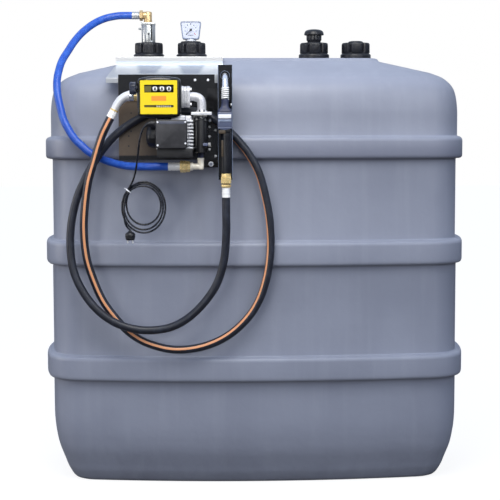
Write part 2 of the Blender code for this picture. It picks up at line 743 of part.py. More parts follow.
def outlet():
    """Swept elbow from the meter's left side, with the brass ring and ferrule of the delivery hose."""
    tube("outlet_elbow", [(x, FLOW_Y, z) for x, z in OUTLET_BEND], 0.0190, ALUMINIUM, 4, OUTLET_TAPER)
    end = Vector((OUTLET_BEND[-1][0], FLOW_Y, OUTLET_BEND[-1][1]))
    ring_start = end + FERRULE_AIM * 0.0006
    ring_end = ring_start + FERRULE_AIM * 0.0050
    rod("outlet_ring", ring_start, ring_end, 0.0158, BRASS)
    ferrule_start = ring_end + FERRULE_AIM * GAP
    ferrule_end = ferrule_start + FERRULE_AIM * 0.0280
    rod("delivery_ferrule", ferrule_start, ferrule_end, 0.0135, ZINC)
    return ferrule_end + FERRULE_AIM * GAP


HOLDER_BACK, HOLDER_FRONT = -0.4240, -0.4270
HOLDER_LEFT, HOLDER_RIGHT = -0.1450, -0.0930


HOLDER_FOOT, HOLDER_TOP = 1.1720, 1.5936
ARMS = ((1.1850, 1.2450), (1.4250, 1.5100))
SPOUT_X = -0.1194
SPOUT_RADIUS = 0.0120
SPOUT_Z = 1.5510
SPOUT_HOLE = 0.0165
TAB_LEFT = -0.1860


def nozzle_holder():
    """Black channel that the nozzle hangs in, on two arms that lap the plate."""
    low = (HOLDER_LEFT, HOLDER_FRONT, HOLDER_FOOT)
    made = block("nozzle_holder", low, (HOLDER_RIGHT, HOLDER_BACK, HOLDER_TOP), BLACK_ENAMEL)
    flange_low = (HOLDER_RIGHT - 0.002, -0.4720, 1.1800)
    pieces = [block("holder_flange", flange_low, (HOLDER_RIGHT, HOLDER_BACK - 0.001, 1.4650), cutter=True)]
    tab_back = PLATE_FRONT - GAP
    for number, (foot, head) in enumerate(ARMS):
        web_low = (HOLDER_LEFT - 0.001, HOLDER_FRONT + 0.001, foot)
        web_high = (HOLDER_LEFT + 0.002, tab_back, head)
        pieces.append(block(f"holder_web_{number}", web_low, web_high, cutter=True))
        tab_low = (TAB_LEFT, tab_back - 0.003, max(foot, STRIP_FOOT + 0.002))
        tab_high = (HOLDER_LEFT + 0.001, tab_back, head)
        pieces.append(block(f"holder_tab_{number}", tab_low, tab_high, cutter=True))
    combine(made, pieces, "UNION")
    hole_z = SPOUT_Z + SPOUT_HOLE - SPOUT_RADIUS - 0.0006
    hole = rod("spout_hole", (SPOUT_X, -0.40, hole_z), (SPOUT_X, -0.45, hole_z), SPOUT_HOLE, cutter=True)
    combine(made, [hole], "DIFFERENCE")


NOZZLE_BODY_LOW = (-0.1405, -0.4975, 1.3483)
NOZZLE_BODY_HIGH = (-0.0965, -0.4440, 1.4643)
LEVER_HALF = 0.0018


def nozzle():
    """Dispensing nozzle hanging spout up: spout, body, grip, lever, swivel and ferrule."""
    spout = (
        (NOZZLE_Y, 1.4646),
        (NOZZLE_Y, 1.5000),
        (NOZZLE_Y + 0.003, 1.5200),
        (NOZZLE_Y + 0.012, 1.5370),
        (NOZZLE_Y + 0.027, 1.5480),
        (-0.4230, SPOUT_Z),
        (-0.4060, SPOUT_Z),
    )
    tube("nozzle_spout", [(SPOUT_X, y, z) for y, z in spout], SPOUT_RADIUS, CHROME, 4)
    block("nozzle_body", NOZZLE_BODY_LOW, NOZZLE_BODY_HIGH, GREY_ENAMEL, bevel=0.010)
    grip = (
        (0.0175, 0.0160, 1.1966),
        (0.0190, 0.0180, 1.2100),
        (0.0195, 0.0185, 1.3350),
        (0.0200, 0.0195, 1.3480),
    )
    outline = circle(1.0, (0, 0, 0), sides=24)
    rings = [[(NOZZLE_X + p.x * wide, NOZZLE_Y + p.y * deep, z) for p in outline] for wide, deep, z in grip]
    loft("nozzle_grip", rings, BLACK_PLASTIC)
    seat = NOZZLE_BODY_HIGH[1] + GAP + LEVER_HALF
    lever = (
        (seat, 1.3720),
        (seat, 1.3500),
        (-0.4390, 1.3300),
        (-0.4360, 1.2900),
        (-0.4370, 1.2500),
        (-0.4440, 1.2150),
    )
    outline = [(y - LEVER_HALF, z) for y, z in lever] + [(y + LEVER_HALF, z) for y, z in reversed(lever)]
    rings = [[(x, y, z) for y, z in outline] for x in (NOZZLE_X - 0.006, NOZZLE_X + 0.006)]
    loft("nozzle_lever", rings, BLACK_ENAMEL)
    rod("nozzle_swivel", (NOZZLE_X, NOZZLE_Y, 1.1963), (NOZZLE_X, NOZZLE_Y, 1.1449), 0.0210, BRASS)
    rod("nozzle_ferrule", (NOZZLE_X, NOZZLE_Y, 1.1446), (NOZZLE_X, NOZZLE_Y, 1.1085), 0.0135, ZINC)


DELIVERY_ROUTE = (
    (-0.572, -0.453, 1.330),
    (-0.601, -0.442, 1.241),
    (-0.624, -0.437, 1.163),
    (-0.638, -0.430, 1.071),
    (-0.643, -0.422, 0.978),
    (-0.635, -0.414, 0.885),
    (-0.612, -0.408, 0.804),
    (-0.577, -0.405, 0.722),
    (-0.528, -0.404, 0.653),
    (-0.473, -0.406, 0.597),
    (-0.405, -0.409, 0.559),
    (-0.312, -0.411, 0.537),
    (-0.212, -0.411, 0.546),
    (-0.120, -0.410, 0.583),
    (-0.045, -0.409, 0.645),
    (0.005, -0.408, 0.719),
    (0.036, -0.406, 0.813),
    (0.049, -0.405, 0.912),
    (0.046, -0.405, 1.017),
    (0.030, -0.405, 1.110),
    (0.006, -0.405, 1.196),
    (-0.031, -0.405, 1.266),
    (-0.074, -0.405, 1.320),
    (-0.116, -0.4045, 1.361),
    (-0.164, -0.4045, 1.398),
    (-0.196, -0.4045, 1.4140),
    (-0.237, -0.4045, 1.4250),
    (-0.285, -0.4045, 1.4280),
    (-0.335, -0.4045, 1.4282),
    (-0.378, -0.4045, 1.4238),
    (-0.410, -0.4045, 1.410),
    (-0.440, -0.4045, 1.396),
    (-0.484, -0.4045, 1.369),
    (-0.527, -0.4045, 1.335),
    (-0.564, -0.4045, 1.294),
    (-0.600, -0.4045, 1.243),
    (-0.639, -0.4045, 1.174),
    (-0.670, -0.4045, 1.100),
    (-0.690, -0.405, 1.014),
    (-0.695, -0.408, 0.928),
    (-0.685, -0.415, 0.842),
    (-0.654, -0.425, 0.768),
    (-0.605, -0.435, 0.701),
    (-0.544, -0.440, 0.652),
    (-0.476, -0.442, 0.624),
    (-0.403, -0.443, 0.615),
    (-0.323, -0.445, 0.627),
    (-0.255, -0.447, 0.664),
    (-0.193, -0.450, 0.726),
    (-0.150, -0.454, 0.794),
    (-0.125, -0.460, 0.880),
    (-0.117, -0.467, 0.979),
    (-0.117, -0.470, 1.045),
    (-0.117, -0.470, 1.1082),
)
SUCTION_ROUTE = (
    (-0.3290, FLOW_Y, SUCTION_Z),
    (-0.360, FLOW_Y, SUCTION_Z),
    (-0.397, -0.457, 1.2220),
    (-0.440, -0.442, 1.2220),
    (-0.480, -0.418, 1.2235),
    (-0.525, -0.388, 1.2320),
    (-0.577, -0.370, 1.249),
    (-0.623, -0.366, 1.273),
    (-0.650, -0.363, 1.296),
    (-0.679, -0.358, 1.324),
    (-0.703, -0.350, 1.360),
    (-0.721, -0.341, 1.396),
    (-0.732, -0.332, 1.434),
    (-0.742, -0.320, 1.474),
    (-0.748, -0.306, 1.511),
    (-0.749, -0.288, 1.546),
    (-0.745, -0.262, 1.581),
    (-0.736, -0.226, 1.620),
    (-0.717, -0.178, 1.661),
    (-0.698, -0.132, 1.699),
    (-0.670, -0.085, 1.738),
    (-0.631, -0.040, 1.774),
    (-0.588, -0.012, 1.797),
    (-0.540, -0.001, 1.808),
    (-0.505, 0.0, TOP_ELBOW_Z),
    (TOP_FERRULE_X - GAP, 0.0, TOP_ELBOW_Z),
)
COIL_CENTRE = (-0.419, -0.474, 1.073)
COIL_MID = 0.078
COIL_THICK = 0.0115
COIL_STRETCH = 1.10
LEAD_ROUTE = (
    (-0.3899, LEAD_Y, LEAD_TOP),
    (-0.396, LEAD_Y, LEAD_TOP),
    (-0.406, LEAD_Y, 1.3720),
    (-0.415, -0.547, 1.360),
    (-0.423, -0.545, 1.340),
    (-0.429, -0.540, 1.315),
    (-0.433, -0.530, 1.288),
    (-0.438, -0.516, 1.253),
    (-0.443, -0.502, 1.220),
    (-0.451, -0.487, 1.188),
    (-0.4620, -0.4745, 1.1622),
)


def cords(delivery_start):
    """The delivery hose's two loops, the suction hose, and the pump's lead with its coil and plug."""
    first = delivery_start + FERRULE_AIM * 0.030
    delivery = smooth_route([delivery_start, first, *DELIVERY_ROUTE], 0.055)
    tube("delivery_hose", delivery, HOSE_RADIUS, BLACK_RUBBER)
    tube("suction_hose", smooth_route(SUCTION_ROUTE, 0.045), SUCTION_RADIUS, BLUE_RUBBER)
    tube("pump_lead", smooth_route(LEAD_ROUTE, 0.012), LEAD_RADIUS, BLACK_RUBBER)
    section = circle(1.0, (0, 0, 0), sides=10)
    rings = []
    for step in range(8):
        turn = 2 * math.pi * step / 8
        radius = COIL_MID + COIL_THICK * math.cos(turn)
        depth = COIL_CENTRE[1] + COIL_THICK * math.sin(turn)
        ring = circle(radius, (COIL_CENTRE[0], depth, 0), "Y", 28)
        rings.append([(point.x, point.y, COIL_CENTRE[2] + COIL_STRETCH * point.z) for point in ring])
    loft("lead_coil", rings, BLACK_RUBBER, closed=True)
    plug = ((0.005, 0.9880), (0.008, 0.9828), (0.0185, 0.9797), (0.0190, 0.9530))
    turned("lead_plug", plug, (-0.4690, COIL_CENTRE[1], 0), "Z", BLACK_PLASTIC, 20)


floor_pan()
wall()
roof()
bands()
caps()
riser()
gauge()
bracket()
pump_plate()
motor()
pump_head()
meter()
number_wheels()
nozzle_holder()
nozzle()
cords(outlet())
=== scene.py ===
"""Diesel dispensing tank: everything that shows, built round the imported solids.

Metres, +Z up. The front faces -Y, as in the CAD.
"""

import json
import math

import bmesh
import bpy
from mathutils import Matrix, Vector

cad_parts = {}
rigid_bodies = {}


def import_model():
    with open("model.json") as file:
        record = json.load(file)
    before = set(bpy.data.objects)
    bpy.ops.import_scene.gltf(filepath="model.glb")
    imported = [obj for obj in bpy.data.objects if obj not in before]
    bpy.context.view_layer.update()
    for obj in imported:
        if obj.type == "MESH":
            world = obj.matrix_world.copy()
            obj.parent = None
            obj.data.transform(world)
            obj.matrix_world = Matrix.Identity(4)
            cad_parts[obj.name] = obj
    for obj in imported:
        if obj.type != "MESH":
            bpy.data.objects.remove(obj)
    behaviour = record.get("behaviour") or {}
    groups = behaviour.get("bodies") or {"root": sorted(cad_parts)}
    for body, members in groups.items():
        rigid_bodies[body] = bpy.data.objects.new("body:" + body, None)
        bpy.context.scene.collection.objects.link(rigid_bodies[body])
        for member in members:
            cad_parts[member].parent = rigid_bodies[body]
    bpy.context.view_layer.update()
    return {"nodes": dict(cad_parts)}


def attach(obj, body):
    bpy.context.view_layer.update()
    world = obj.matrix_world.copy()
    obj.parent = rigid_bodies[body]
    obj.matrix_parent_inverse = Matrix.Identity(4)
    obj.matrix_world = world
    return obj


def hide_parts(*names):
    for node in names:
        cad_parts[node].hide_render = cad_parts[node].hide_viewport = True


for item in list(bpy.data.objects):
    bpy.data.objects.remove(item)
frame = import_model()

FRONT = Vector((0, -1, 0))
BACK = Vector((0, 1, 0))
LEFT = Vector((-1, 0, 0))
RIGHT = Vector((1, 0, 0))
UP = Vector((0, 0, 1))
DOWN = Vector((0, 0, -1))


# Camera
EYE = (-0.168, -5.385, 1.336)
YAW, LOOKING_DOWN, ROLL = -0.0281, 0.0854, -0.0021
FOCAL_LENGTH = 96.54


def camera():
    """Stands where the photographer stood: a little left of the middle, looking slightly down."""
    view = bpy.data.objects.new("view", bpy.data.cameras.new("view"))
    view.data.lens = FOCAL_LENGTH
    view.data.clip_end = 60
    yaw = Matrix.Rotation(YAW, 4, "Z")
    pitch = Matrix.Rotation(math.pi / 2 - LOOKING_DOWN, 4, "X")
    roll = Matrix.Rotation(ROLL, 4, "Z")
    view.matrix_world = Matrix.Translation(EYE) @ yaw @ pitch @ roll
    bpy.context.scene.collection.objects.link(view)
    bpy.context.scene.camera = view


camera()


# Nodes
class Flow:
    """What comes out of a node. Arithmetic on it adds Math nodes."""

    def __init__(self, paint, socket):
        self.paint = paint
        self.socket = socket

    def __add__(self, other):
        return self.paint.math("ADD", self, other)

    def __sub__(self, other):
        return self.paint.math("SUBTRACT", self, other)

    def __rsub__(self, other):
        return self.paint.math("SUBTRACT", other, self)

    def __mul__(self, other):
        return self.paint.math("MULTIPLY", self, other)

    def __abs__(self):
        return self.paint.math("ABSOLUTE", self)

    __radd__ = __add__
    __rmul__ = __mul__

    def smooth(self, low, high):
        """0 at low and 1 at high, with a soft start and end."""
        sockets = {"Value": self, "From Min": low, "From Max": high}
        return self.paint.node("MapRange", {"interpolation_type": "SMOOTHSTEP"}, sockets)


class Paint:
    """The nodes of one material, or of the world."""

    def __init__(self, owner):
        owner.use_nodes = True
        self.owner = owner
        self.tree = owner.node_tree
        self.tree.nodes.clear()

    def node(self, kind, settings=(), sockets=(), output=0):
        made = self.tree.nodes.new("ShaderNode" + kind)
        for name, value in dict(settings).items():
            setattr(made, name, value)
        for name, value in dict(sockets).items():
            if isinstance(value, Flow):
                self.tree.links.new(value.socket, made.inputs[name])
            else:
                made.inputs[name].default_value = value
        return Flow(self, made.outputs[output]) if made.outputs else None

    def math(self, operation, *values):
        return self.node("Math", {"operation": operation}, dict(enumerate(values)))

    def mix(self, share, one, other):
        """A colour between two others."""
        return self.node("Mix", {"data_type": "RGBA"}, {0: share, 6: colour(one), 7: colour(other)}, 2)

    def place(self, stretch=(1, 1, 1), turn=(0, 0, 0)):
        """The point on the piece, in metres, squeezed or turned."""
        point = self.node("TexCoord", output="Object")
        return self.node("Mapping", {}, {"Vector": point, "Scale": stretch, "Rotation": turn})

    def axis(self, number):
        """The point's X, Y or Z."""
        return self.node("SeparateXYZ", {}, {"Vector": self.place()}, number)

    def noise(self, size, detail, stretch=(1, 1, 1), turn=(0, 0, 0)):
        """Clouds round 0.5, with blots about size metres across."""
        sockets = {"Vector": self.place(stretch, turn), "Scale": 1 / size, "Detail": detail}
        return self.node("TexNoise", {}, sockets)

    def bump(self, height, depth, under=None):
        sockets = {"Height": height, "Distance": depth, "Strength": 1.0}
        if under:
            sockets["Normal"] = under
        return self.node("Bump", {}, sockets)

    def done(self, tone, roughness, normal, metallic=0.0, **sockets):
        """Ends the material in its shader. Other sockets are named in small letters."""
        inputs = {"Base Color": tone, "Roughness": roughness, "Metallic": metallic, "Normal": normal}
        names = {"coat": "Coat Weight", "coat_roughness": "Coat Roughness", "specular": "Specular IOR Level"}
        inputs.update({names[name]: value for name, value in sockets.items()})
        shader = self.node("BsdfPrincipled", {}, inputs)
        self.node("OutputMaterial", {}, {"Surface": shader})
        return self.owner

    def two_looks(self, ending, lit, seen):
        """Ends with one look for the camera and another for the light that falls on the part."""
        ray = self.node("LightPath", output="Is Camera Ray")
        self.node(ending, {}, {"Surface": self.node("MixShader", {}, {0: ray, 1: lit, 2: seen})})


def new_paint(name):
    return Paint(bpy.data.materials.new(name))


def colour(tone):
    """Turns three parts of a picture's colour, 0 to 255, into light. Light and flows stay as they are."""
    if isinstance(tone, Flow) or len(tone) == 4:
        return tone
    return (*(((part / 255 + 0.055) / 1.055) ** 2.4 if part > 10 else part / 3294.6 for part in tone), 1.0)


# Finishes
def tank_plastic():
    """Blue-grey plastic: cloudy, pebbled, with upright flow marks, a dusty foot, and painted shade that
    darkens the upper band towards its foot.
    """
    paint = new_paint("tank_plastic")
    cloud = paint.noise(0.3, 4.0)
    flow = paint.noise(0.045, 3.0, (1, 1, 0.07))
    tone = paint.mix(cloud.smooth(0.3, 0.7), (138, 143, 160), (146, 151, 168))
    tone = paint.mix(flow.smooth(0.45, 0.75) * 0.3, tone, (156, 160, 176))
    low = 1 - paint.axis(2).smooth(0.02, 0.2)
    dust = low * paint.noise(0.05, 5.0).smooth(0.45, 0.75)
    tone = paint.mix(dust * 0.25, tone, (124, 128, 142))
    # Painted shade: the upper band's face darkens towards its lower edge.
    band_shade = (1 - paint.axis(2).smooth(1.262, 1.334)) * paint.axis(2).smooth(1.236, 1.25)
    tone = paint.mix(band_shade * 0.75, tone, (112, 116, 134))
    pebble = paint.noise(0.0022, 2.0)
    wave = paint.noise(0.05, 2.0)
    normal = paint.bump(pebble, 0.00035, paint.bump(wave, 0.0012))
    rough = 0.36 + 0.1 * cloud + 0.15 * dust
    return paint.done(tone, rough, normal, specular=0.45)


def moulded(name, dark, light, rough, grain=0.0012, depth=0.0002, coat=0.0):
    """Moulded plastic with a fine spark-eroded grain and a little dust."""
    paint = new_paint(name)
    dust = paint.noise(0.018, 5.0).smooth(0.4, 0.8)
    tone = paint.mix(dust, dark, light)
    normal = paint.bump(paint.noise(grain, 1.0), depth)
    return paint.done(tone, rough + 0.15 * dust, normal, coat=coat)


def enamel(name, dark, light, rough, peel=0.006, coat=0.5):
    """Baked enamel on metal: glossy, with a faint orange peel and a few rubbed patches."""
    paint = new_paint(name)
    rub = paint.noise(0.03, 6.0).smooth(0.52, 0.8)
    tone = paint.mix(rub, dark, light)
    normal = paint.bump(paint.noise(peel, 1.5), 0.00025)
    return paint.done(tone, rough + 0.25 * rub, normal, coat=coat, coat_roughness=0.08)


def zinc_sheet():
    """Spangled zinc sheet, with a painted highlight on its upright edge and a painted reflection of each of
    its two caps as a dark patch below it.
    """
    paint = new_paint("zinc_sheet")
    cell = paint.node("TexVoronoi", {}, {"Vector": paint.place(), "Scale": 90.0, "Randomness": 1.0}, "Color")
    spangle = paint.node("SeparateColor", {}, {"Color": cell})
    bloom = paint.noise(0.03, 3.0).smooth(0.6, 0.85)
    tone = paint.mix(spangle, (160, 164, 170), (168, 171, 176))
    tone = paint.mix(bloom * 0.4, tone, (178, 177, 172))
    across, up = paint.axis(0), paint.axis(2)
    fold = 1.603
    wobble = 0.016 * paint.noise(0.02, 2.0) - 0.008
    # Painted reflection: a dark blue-grey patch on the slope below each cap.
    for x in (-0.406, -0.245):
        cap_reflection_spread = abs(across - x) + wobble + 0.55 * (fold - up)
        patch = (1 - cap_reflection_spread.smooth(0.04, 0.06)) * up.smooth(1.56, 1.572)
        tone = paint.mix(patch * 0.85, tone, (66, 84, 112))
    # Painted highlight: the upright edge is painted pale, grey above and sky-blue below, for light reflected
    # from it.
    upright = up.smooth(fold, fold + 0.004)
    pale = paint.mix(up.smooth(1.616, 1.624), (226, 236, 250), (214, 214, 214))
    tone = paint.mix(upright, tone, pale)
    rough = 0.32 + 0.04 * spangle + 0.1 * bloom
    normal = paint.bump(paint.noise(0.1, 1.0), 0.0002)
    return paint.done(tone, rough, normal, 0.18 + 0.27 * upright)


def plate_enamel():
    """Black enamel with painted light: brown on the left, where light and the ground's reflection fall on
    it.
    """
    paint = new_paint("plate_enamel")
    rub = paint.noise(0.03, 6.0).smooth(0.52, 0.8)
    tone = paint.mix(rub, (13, 13, 15), (26, 24, 24))
    across, up = paint.axis(0), paint.axis(2)
    # Painted light: a warm brown patch on the plate's left stands for light and the ground's reflection.
    painted_light_patch = (1 - across.smooth(-0.345, -0.325)) * (1 - up.smooth(1.45, 1.475)) * up.smooth(1.258, 1.266)
    tone = paint.mix(painted_light_patch * (0.82 + 0.18 * rub), tone, (100, 85, 70))
    normal = paint.bump(paint.noise(0.006, 1.5), 0.00025)
    return paint.done(tone, 0.26 + 0.2 * painted_light_patch, normal, coat=0.15, coat_roughness=0.12)


def machined(name, bright, dull, tarnish, rough, metallic):
    """Turned or plated metal with fine tool lines and tarnish in patches."""
    paint = new_paint(name)
    stain = paint.noise(0.016, 2.0).smooth(0.42, 0.78)
    line = paint.noise(0.0015, 1.0)
    tone = paint.mix(stain * tarnish, bright, dull)
    return paint.done(tone, rough + 0.1 * stain + 0.04 * line, paint.bump(line, 0.00001), metallic)


def cast(name, bright, dull, rough):
    """Sand-cast metal: grainy, duller in the hollows of its grain."""
    paint = new_paint(name)
    grain = paint.noise(0.0022, 3.0)
    patch = paint.noise(0.02, 4.0)
    tone = paint.mix(grain.smooth(0.35, 0.65) * 0.5 + patch.smooth(0.3, 0.7) * 0.5, dull, bright)
    return paint.done(tone, rough + 0.15 * patch, paint.bump(grain, 0.00025), 0.45)


def hose_cover(name, dark, light, rough):
    """Rubber hose cover with the fine print of the cloth that it was cured in, and dust."""
    paint = new_paint(name)
    cloth = paint.noise(0.0011, 0.0, (1, 1, 1), (0.5, 0.7, 0.4)) + paint.noise(0.0011, 0.0, (0.3, 1, 0.3))
    dust = paint.noise(0.02, 5.0, (1, 1, 0.6)).smooth(0.42, 0.78)
    tone = paint.mix(dust, dark, light)
    return paint.done(tone, rough + 0.12 * dust, paint.bump(cloth, 0.00012), specular=0.5)


def ink(name, tone, worn, rough=0.35):
    """A printed or painted plate, slightly uneven, with specks worn away."""
    paint = new_paint(name)
    speck = paint.noise(0.0025, 4.0).smooth(0.62, 0.75)
    haze = paint.noise(0.02, 3.0)
    mixed = paint.mix(speck * 0.35, tone, worn)
    return paint.done(mixed, rough + 0.12 * haze, paint.bump(haze, 0.0002), coat=0.25)


TANK = tank_plastic()
CAP = moulded("black_plastic", (18, 19, 25), (36, 38, 47), 0.34, 0.0016, 0.00015)
LID = moulded("lid_plastic", (46, 46, 50), (60, 60, 65), 0.5)
SATIN = moulded("satin_black", (22, 22, 25), (34, 34, 38), 0.5)
LID_HIGHLIGHT = moulded("lid_painted_highlight", (78, 82, 96), (92, 96, 110), 0.45)
# Painted highlight: a lighter plastic for the strip along the lid's top bevel.
KNOB = moulded("knob_plastic", (30, 35, 52), (52, 60, 84), 0.25)
GRIP = moulded("grip_plastic", (14, 16, 23), (26, 29, 38), 0.28)
# Bronze for the nozzle's clip, and for a painted reflection on the grip.
BRONZE_AND_REFLECTION = moulded("bronze_and_painted_reflection", (72, 62, 50), (92, 80, 64), 0.4)
BLACK = enamel("black_enamel", (10, 10, 13), (20, 20, 24), 0.2, coat=0.2)
PLATE = plate_enamel()
NOZZLE = enamel("grey_enamel", (86, 94, 120), (108, 116, 142), 0.3, 0.003)
NOZZLE_DARK = moulded("dark_shell", (34, 40, 68), (48, 56, 88), 0.45)
YELLOW = ink("yellow_enamel", (240, 212, 14), (222, 190, 18), 0.3)
ORANGE = ink("orange_print", (240, 150, 45), (242, 172, 60))
OLIVE = ink("olive_print", (96, 90, 40), (70, 66, 34))
INK = ink("black_ink", (22, 20, 30), (40, 38, 46))
RED = ink("red_ink", (170, 50, 44), (190, 90, 80))
FIGURE = ink("white_figures", (236, 238, 244), (200, 202, 210))
WHITE = moulded("white_plastic", (226, 230, 240), (206, 210, 222), 0.3, coat=0.2)
DIAL = ink("dial_paper", (206, 212, 232), (186, 192, 214))
RIM = moulded("gauge_rim", (120, 132, 158), (146, 156, 178), 0.3)
ZINC = zinc_sheet()
PLATED = machined("zinc_plated", (252, 252, 253), (240, 241, 244), 0.2, 0.34, 0.15)
GALVANISED = machined("galvanised", (196, 199, 200), (170, 175, 180), 0.2, 0.26, 0.75)
CHROME = machined("chrome", (230, 234, 244), (176, 184, 202), 0.35, 0.14, 0.85)
BRASS = machined("brass", (250, 222, 156), (206, 164, 92), 0.5, 0.24, 0.4)
PALE_BRASS = machined("pale_brass", (255, 249, 234), (244, 226, 192), 0.3, 0.28, 0.15)
TAN_BRASS = machined("tan_brass", (214, 186, 138), (170, 140, 94), 0.4, 0.28, 0.6)
CAST = cast("cast_aluminium", (232, 232, 236), (190, 191, 198), 0.36)
BRIGHT_CAST = cast("bright_cast", (246, 246, 250), (222, 224, 230), 0.34)
BLUE_HOSE = hose_cover("blue_rubber", (30, 80, 184), (50, 102, 200), 0.34)
BLACK_HOSE = hose_cover("black_rubber", (28, 31, 42), (42, 47, 62), 0.38)
LEAD = hose_cover("lead_rubber", (16, 19, 28), (28, 33, 47), 0.26)
STRIPE = ink("orange_stripe", (232, 162, 116), (192, 124, 88), 0.5)


# Lines and outlines
def curve(points, steps):
    """Points on a smooth line through the given ones."""
    route = [Vector(point) for point in points]
    padded = [2 * route[0] - route[1], *route, 2 * route[-1] - route[-2]]
    fine = []
    for before, here, after, later in zip(padded, padded[1:], padded[2:], padded[3:]):
        for step in range(steps):
            t = step / steps
            bend = (2 * before - 5 * here + 4 * after - later) * t * t
            twist = (3 * here - before - 3 * after + later) * t * t * t
            fine.append(0.5 * (2 * here + (after - before) * t + bend + twist))
    return [*fine, route[-1]]


def length_of(points):
    return sum((after - here).length for here, after in zip(points, points[1:]))


def smooth_route(points, spacing):
    """Evenly spaced points on a smooth line through the given ones."""
    fine = curve(points, 24)
    whole = length_of(fine)
    count = max(2, round(whole / spacing))
    even = [fine[0]]
    travelled = 0.0
    for here, after in zip(fine, fine[1:]):
        step = (after - here).length
        while len(even) < count and travelled + step >= whole * len(even) / count:
            even.append(here.lerp(after, (whole * len(even) / count - travelled) / step))
        travelled += step
    return [*even, fine[-1]]


def round_the_clock(sides):
    return [2 * math.pi * step / sides for step in range(sides)]


def around(first, second, turn):
    """The direction that is a turn away from the first one, toward the second."""
    return first * math.cos(turn) + second * math.sin(turn)


def sweep(points, radii, turns, facing=False, twist=None):
    """Rings round a line. Their first direction faces the front, or follows the line without twisting."""
    rings = []
    first = FRONT
    for number, here in enumerate(points):
        along = (points[min(number + 1, len(points) - 1)] - points[max(number - 1, 0)]).normalized()
        lead = FRONT if facing else first
        if abs(lead.dot(along)) > 0.98:
            lead = UP
        first = (lead - along * along.dot(lead)).normalized()
        second = along.cross(first)
        radius = radii[number] if isinstance(radii, (list, tuple)) else radii
        lean = twist[number] if twist else 0.0
        rings.append([here + radius * around(first, second, turn + lean) for turn in turns])
    return rings


def hexagon(turn):
    """Share of the radius that a hexagon has at each turn."""
    return math.cos(math.pi / 6) / math.cos(turn % (math.pi / 3) - math.pi / 6)


def ribbed(count, depth):
    """Share of the radius on a ribbed side: broad ribs with narrow grooves."""
    return lambda turn: 1 - depth * max(0.0, math.cos(count * turn)) ** 3


def oblong(left, right, foot, head, corner, steps=6):
    """A rectangle with round corners, as (across, up)."""
    left, right, foot, head = left + corner, right - corner, foot + corner, head - corner
    outline = []
    for number, (across, up) in enumerate(((right, foot), (right, head), (left, head), (left, foot))):
        for step in range(steps + 1):
            turn = math.pi / 2 * (number - 1 + step / steps)
            outline.append((across + corner * math.cos(turn), up + corner * math.sin(turn)))
    return outline


def laid(outline, at, axis="Y"):
    """Puts an (across, up) outline at a distance along an axis."""
    return [{"X": (at, a, b), "Y": (a, at, b), "Z": (a, b, at)}[axis] for a, b in outline]


def wall(shape, lower, upper):
    """Faces all round between two rings of equal counts."""
    sides = enumerate((*range(1, len(lower)), 0))
    return [shape.faces.new((lower[i], lower[j], upper[j], upper[i])) for i, j in sides]


def filled(shape, loops):
    """Fills a flat outline with triangles, all but the holes in it. Returns the corners of each."""
    corners = [[shape.verts.new(point) for point in loop] for loop in loops]
    edges = []
    for verts in corners:
        edges += [shape.edges.new((a, b)) for a, b in zip(verts, [*verts[1:], verts[0]])]
    bmesh.ops.triangle_fill(shape, use_beauty=True, use_dissolve=False, edges=edges)
    return corners


